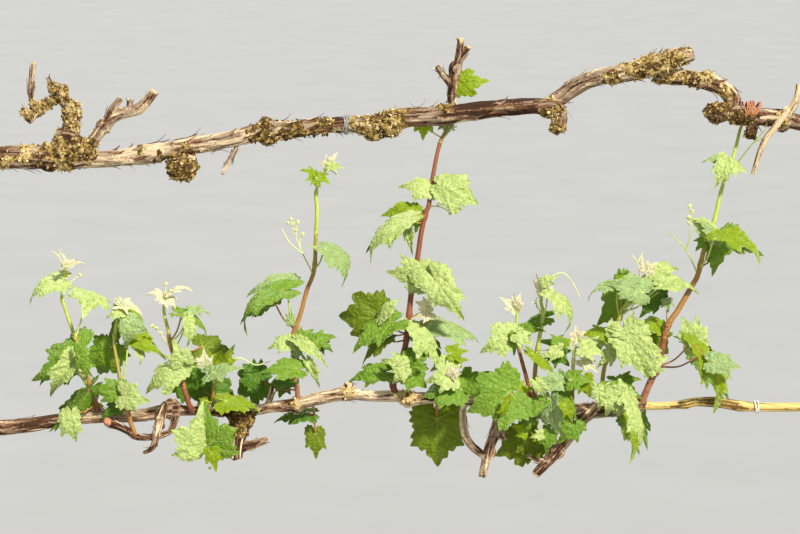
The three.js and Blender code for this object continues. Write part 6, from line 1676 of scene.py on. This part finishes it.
# The colours of each stem as heights down the face, from the foot up.
STEM_BANDS = {
    "shoot_a": {392: "red", 340: "orange", 0: "green"},
    "shoot_b": {400: "orange", 340: "olive", 0: "green"},
    "shoot_c": {380: "red", 335: "orange", 0: "green"},
    "shoot_e": {380: "pink", 272: "orange", 236: "olive", 0: "green"},
    "shoot_f": {372: "dark", 204: "red", 186: "orange", 140: "red", 0: "olive"},
    "shoot_f_side": {380: "pale", 0: "green"},
    "shoot_g": {354: "red", 330: "olive", 0: "green"},
    "shoot_h": {384: "orange", 346: "olive", 0: "green"},
    "shoot_i": {374: "orange", 0: "pale"},
    "shoot_j": {318: "olive", 0: "green"},
    "shoot_k": {384: "pink", 330: "red", 262: "orange", 232: "olive", 0: "green"},
}
PLAIN_BANDS = {385: "orange", 330: "olive", 0: "green"}
# Undersides are paler under the pale, silver and backlit tones and darker under the mid, deep and olive
# ones, so the painted sun and shade of the upper side carry over.
UNDERSIDES = {
    "pale": "under_pale", "silver": "under_pale", "backlit": "under_pale",
    "mid": "under_deep", "deep": "under_deep", "olive": "under_deep",
    "woolly": "woolly_pink", "woolly_pink": "woolly",
}
# A paler leaf has a paler stalk than the stem that it leaves.
PALER_STALKS = {"stem_red": "stem_orange", "stem_dark": "stem_orange", "stem_orange": "stem_green",
                "stem_olive": "stem_green", "stem_pink": "stem_green"}
STEM_SLOTS = ["stem_red", "stem_dark", "stem_orange", "stem_olive", "stem_green", "stem_pale", "stem_pink",
              "bud_green", "woolly_pink"]
LEAF_SLOTS = ["pale", "mid", "deep", "olive", "backlit", "silver", "woolly", "woolly_pink", "under_pale",
              "under_deep", "vein_pale", "vein_mid", "vein_deep"]
# Veins follow the tone of the upper side, painted sun or painted shade included.
VEINS = {
    "pale": "vein_pale", "silver": "vein_pale", "woolly": "vein_pale", "woolly_pink": "vein_pale",
    "mid": "vein_mid", "backlit": "vein_mid", "olive": "vein_mid", "deep": "vein_deep",
}


STEM_SIDES = 12
JOINT_STEP = 12
BAND_BLEND = 24
# How near on the stem the stalks of one leaf leave it, and how near the feet of two blades of one
# leaf are, without and with a rib between them.
TWIN_DOWN = 4
TWIN_REACH = 12 * MM
RIB_REACH = 32 * MM


# The finish of a stem at a height down the face.
def stem_colour(name, down):
    for limit, colour in STEM_BANDS.get(name, PLAIN_BANDS).items():
        if down >= limit:
            return "stem_" + colour
    return "stem_green"


# A stem that swells at its leaf joints, in bands of its own colours.
def add_stem(pile, shoot):
    line = smoothed([waypoint(row) for row in shoot["stem"]], 1.8 * MM)
    downs = smoothed([[row[0] * MM, row[1] * MM, 0, 0] for row in shoot["stem"]], 1.8 * MM)[:, 1] / MM
    downs = np.interp(np.linspace(0, 1, len(line)), np.linspace(0, 1, len(downs)), downs)
    joints = sorted({round(row[1] / JOINT_STEP) * JOINT_STEP for row in shoot["leaves"]})
    for joint in joints:
        line[:, 3] *= 1 + 0.22 * np.exp(-((downs - joint) / 3.2) ** 2)
    corners, faces = tube(line, STEM_SIDES)
    swell = 1 + 0.05 * noise(corners / MM / np.array([1.2, 1.2, 9]), 4)
    centres = np.repeat(line[:, :3], STEM_SIDES, axis=0)
    corners = centres + (corners - centres) * swell[:, None]
    random = seeded(len(line))
    bands = {}
    for number, face in enumerate(faces):
        row = min(number // STEM_SIDES, len(downs) - 1)
        down = downs[row] + BAND_BLEND * (random() - 0.5)
        bands.setdefault(stem_colour(shoot["name"], down), []).append(face)
    first = True
    for finish, members in bands.items():
        if first:
            pile.add(corners, members, finish)
            first = False
        else:
            pile.extend(members, finish, len(corners))


# Whether two blades are parts of one leaf, whose stalk is then drawn once.
def same_leaf(one, other, reach):
    return abs(one[0] - other[0]) <= TWIN_DOWN and np.linalg.norm(one[1] - other[1]) < reach


# A leaf stalk from the stem to the blade, arched a little, with a swollen foot. Where the leaf has
# a part already, the stalk starts there instead or is left out.
def add_stalk(pile, shoot, row, blade, before):
    own = (row[1], blade["at"])
    if any(same_leaf(own, other, TWIN_REACH) for other in before):
        return
    root = station_at(shoot["stem"], row[1])
    start = sighted(root[0], root[1], root[2])
    for other in before:
        if same_leaf(own, other, RIB_REACH) and np.linalg.norm(start - blade["at"]) > 45 * MM:
            start = other[1]
    middle = (start + blade["at"]) / 2
    middle[2] -= STALK_SAG * np.linalg.norm(start - blade["at"])
    radius = min(STALK_RADIUS, 0.5 * MM + blade["length"] * 0.012)
    end = blade["at"] - blade["face"] * 0.2 * MM
    neck = end - blade["along"] * min(2 * MM, 0.3 * np.linalg.norm(end - middle))
    points = [[*start, radius * 1.5], [*(start * 0.8 + middle * 0.2), radius], [*middle, radius * 0.92],
              [*neck, radius * 0.95], [*end, radius * 0.9]]
    line = smoothed(points, 3.5 * MM)
    corners, faces = tube(line, 8)
    finish = stem_colour(shoot["name"], row[1])
    # Leaves in the pale and backlit tones, painted sun, get paler stalks here too.
    if row[0] in ("pale", "backlit", "silver", "woolly"):
        finish = PALER_STALKS.get(finish, "stem_pale")
    pile.add(corners, faces, finish)


# A cluster of flower buds round a place.
def add_bud(pile, place, random):
    corners, faces = lump(place, BUD_RADIUS, BUD_RADIUS, 10, 0.08, 3)
    pile.add(corners, faces, "bud_green")
    for number in range(6):
        tilt = math.acos(1 - 2 * random())
        turn = 2 * math.pi * random()
        way = np.array([math.sin(tilt) * math.cos(turn), math.sin(tilt) * math.sin(turn), math.cos(tilt)])
        size = BUD_RADIUS * (0.45 + 0.25 * random())
        corners, faces = lump(place + way * BUD_RADIUS * 0.95, size, size, 8, 0, 1)
        pile.add(corners, faces, "bud_green")


# Whether a blade is clear of the limbs, of other shoots' stems and of every blade before it.
def blade_clear(tree, blades, solids, own):
    for other in blades:
        if boxes_meet(tree, other) and tree[0].overlap(other[0]):
            return False
    for name, other in solids:
        if name != own and boxes_meet(tree, other) and tree[0].overlap(other[0]):
            return False
    return True


# The search tree of several solids and the two ends of their box.
def tree_of(solids):
    corners, faces = merged(solids)
    tree = BVHTree.FromPolygons([Vector(corner) for corner in corners], faces)
    return tree, corners.min(0), corners.max(0)


# Every shoot in turn: its stem, stalks, tendrils and buds, and each leaf at the least nudge that
# keeps it clear of the rest.
def green_parts():
    shoots = SHOOTS + [rule_shoot(rule) for rule in RULE_SHOOTS]
    solids = [("trunk", tree_of([tube(smoothed(trunk_waypoints(), 0.1), 10)]))]
    for limb in LIMBS:
        solids.append((limb["name"], tree_of([tube(line, 6) for line in limb_lines(limb)])))
    for shoot in shoots:
        line = smoothed([waypoint(row) for row in shoot["stem"]], 0.02)
        solids.append((shoot["name"], tree_of([tube(line, 4)])))
    blades = []
    piles = [Pile("leaves_1", LEAF_SLOTS, "foliage", [])]
    stems = Pile("shoots_and_stalks", STEM_SLOTS, "foliage", [shoot["name"] for shoot in shoots])
    for order, shoot in enumerate(shoots):
        random = seeded(300 + order)
        add_stem(stems, shoot)
        joined = []
        for stalk in shoot["stalks"]:
            line = smoothed([waypoint([*row, TENDRIL_RADIUS / MM]) for row in stalk], 1.5 * MM)
            line[:, 3] *= np.linspace(1.0, 0.62, len(line))
            corners, faces = tube(line, 8)
            stems.add(corners, faces, "stem_green" if shoot["name"] == "shoot_k" else "stem_pale")
        for across, down, out in shoot["buds"]:
            add_bud(stems, sighted(across, down, out), random)
        for row in shoot["leaves"] + back_leaves(shoot, 700 + order):
            for attempt in range(NUDGE_TRIES):
                nudge = math.ceil(attempt / 2) * NUDGE_STEP
                blade = blade_frame(row, nudge if attempt % 2 == 1 else -nudge)
                tree = blade_outline(blade)
                if blade_clear(tree, blades, solids, shoot["name"]):
                    break
            else:
                continue
            blades.append(tree)
            tone = row[0]
            if tone == "woolly" and random() < 0.3:
                tone = "woolly_pink"
            mood = mood_of(tone, blade["length"], random)
            if piles[-1].triangles() > PIECE_TRIANGLES - LEAF_TRIANGLES:
                piles.append(Pile("leaves_" + str(len(piles) + 1), LEAF_SLOTS, "foliage", []))
            kind = tone.split()[0]
            add_blade(piles[-1], blade, tone, UNDERSIDES[kind], mood, random)
            add_veins(piles[-1], blade, mood, VEINS[kind], "vein_pale")
            add_stalk(stems, shoot, row, blade, joined)
            joined.append((row[1], blade["at"]))
    stems.piece()
    for pile in piles:
        pile.piece()

# Ties left on the vine: a few snug turns of twine, raffia and string.
def add_ties():
    pile = Pile("ties", ["tie_grey", "tie_raffia", "tie_white"], "bark", [])
    for across, down, out, radius, turns, gauge, lean, finish, seed in TIES:
        centre = sighted(across, down, out)
        random = seeded(seed)
        for turn in range(turns):
            shift = (turn - (turns - 1) / 2) * gauge * 0.85 + (random() - 0.5) * gauge
            tilt = math.radians(lean + 40 * (random() - 0.5))
            angles = np.linspace(0, 2 * math.pi, 29)
            reach = (radius + 0.6 + 0.8 * random()) * MM
            rows = []
            for angle in angles:
                place = centre + np.array([
                    shift * MM + math.sin(tilt) * reach * math.sin(angle), reach * math.cos(angle),
                    math.cos(tilt) * reach * math.sin(angle)])
                rows.append([*place, gauge * 0.5 * MM])
            corners, faces = tube(np.array(rows), 6)
            pile.add(corners, faces, finish)
    pile.piece()


# Across, down, out, radius of what is tied, turns, thickness, lean, finish and seed.
TIES = [
    [346, 124, 0, 9.4, 4, 1.3, 6, "tie_grey", 5],
    [750, 112, -4, 9.8, 10, 1.4, 8, "tie_raffia", 6],
    [752, 113, -4, 10.6, 5, 1.2, -20, "tie_raffia", 8],
    [757, 407, 0, 5.2, 3, 1.2, 8, "tie_white", 7],
]


# The camera stands where the photograph was taken from.
def add_camera():
    camera = bpy.data.cameras.new("camera")
    camera.lens = 135
    camera.sensor_width = 36
    made = bpy.data.objects.new("camera", camera)
    aim = Vector((FACE_LEFT_X + FACE_WIDTH / 2, 0, FACE_MIDDLE_Z))
    made.location = aim + Vector((0, -math.cos(EYE_FALL), math.sin(EYE_FALL))) * EYE_DISTANCE
    made.rotation_euler = (math.radians(90) - EYE_FALL, 0, 0)
    camera.clip_end = 200
    bpy.context.scene.collection.objects.link(made)
    bpy.context.scene.camera = made


# A plain pale floor and soft daylight: a broad sun from the upper right, and an even sky.
def add_stage():
    bpy.ops.mesh.primitive_plane_add(size=120, location=(0, 0, 0))
    floor = bpy.context.object
    floor.name = "floor"
    made, nodes, links, shader = started("floor")
    stops = [(0.3, (0.3, 0.3, 0.295)), (0.7, (0.315, 0.315, 0.31))]
    tint = ramp(nodes, links, pattern(nodes, links, 3, 2), stops)
    links.new(tint, shader.inputs["Base Color"])
    shader.inputs["Roughness"].default_value = 0.95
    floor.data.materials.append(made)
    for name, power, spread, turn in (("sun", 5.4, 5, (50, 0, 34)), ("rim", 2.0, 16, (-50, 0, 25))):
        light = bpy.data.lights.new(name, "SUN")
        light.energy = power
        light.angle = math.radians(spread)
        light.color = (1.0, 0.97, 0.9)
        lamp = bpy.data.objects.new(name, light)
        lamp.rotation_euler = [math.radians(angle) for angle in turn]
        bpy.context.scene.collection.objects.link(lamp)
    world = bpy.data.worlds.new("sky")
    world.use_nodes = True
    world.node_tree.nodes["Background"].inputs["Color"].default_value = (0.86, 0.92, 1.0, 1)
    world.node_tree.nodes["Background"].inputs["Strength"].default_value = 0.55
    bpy.context.scene.world = world
    bpy.context.scene.view_settings.view_transform = "Standard"


add_camera()
add_stage()
woody_parts()
green_parts()
add_ties()

bpy.context.view_layer.update()
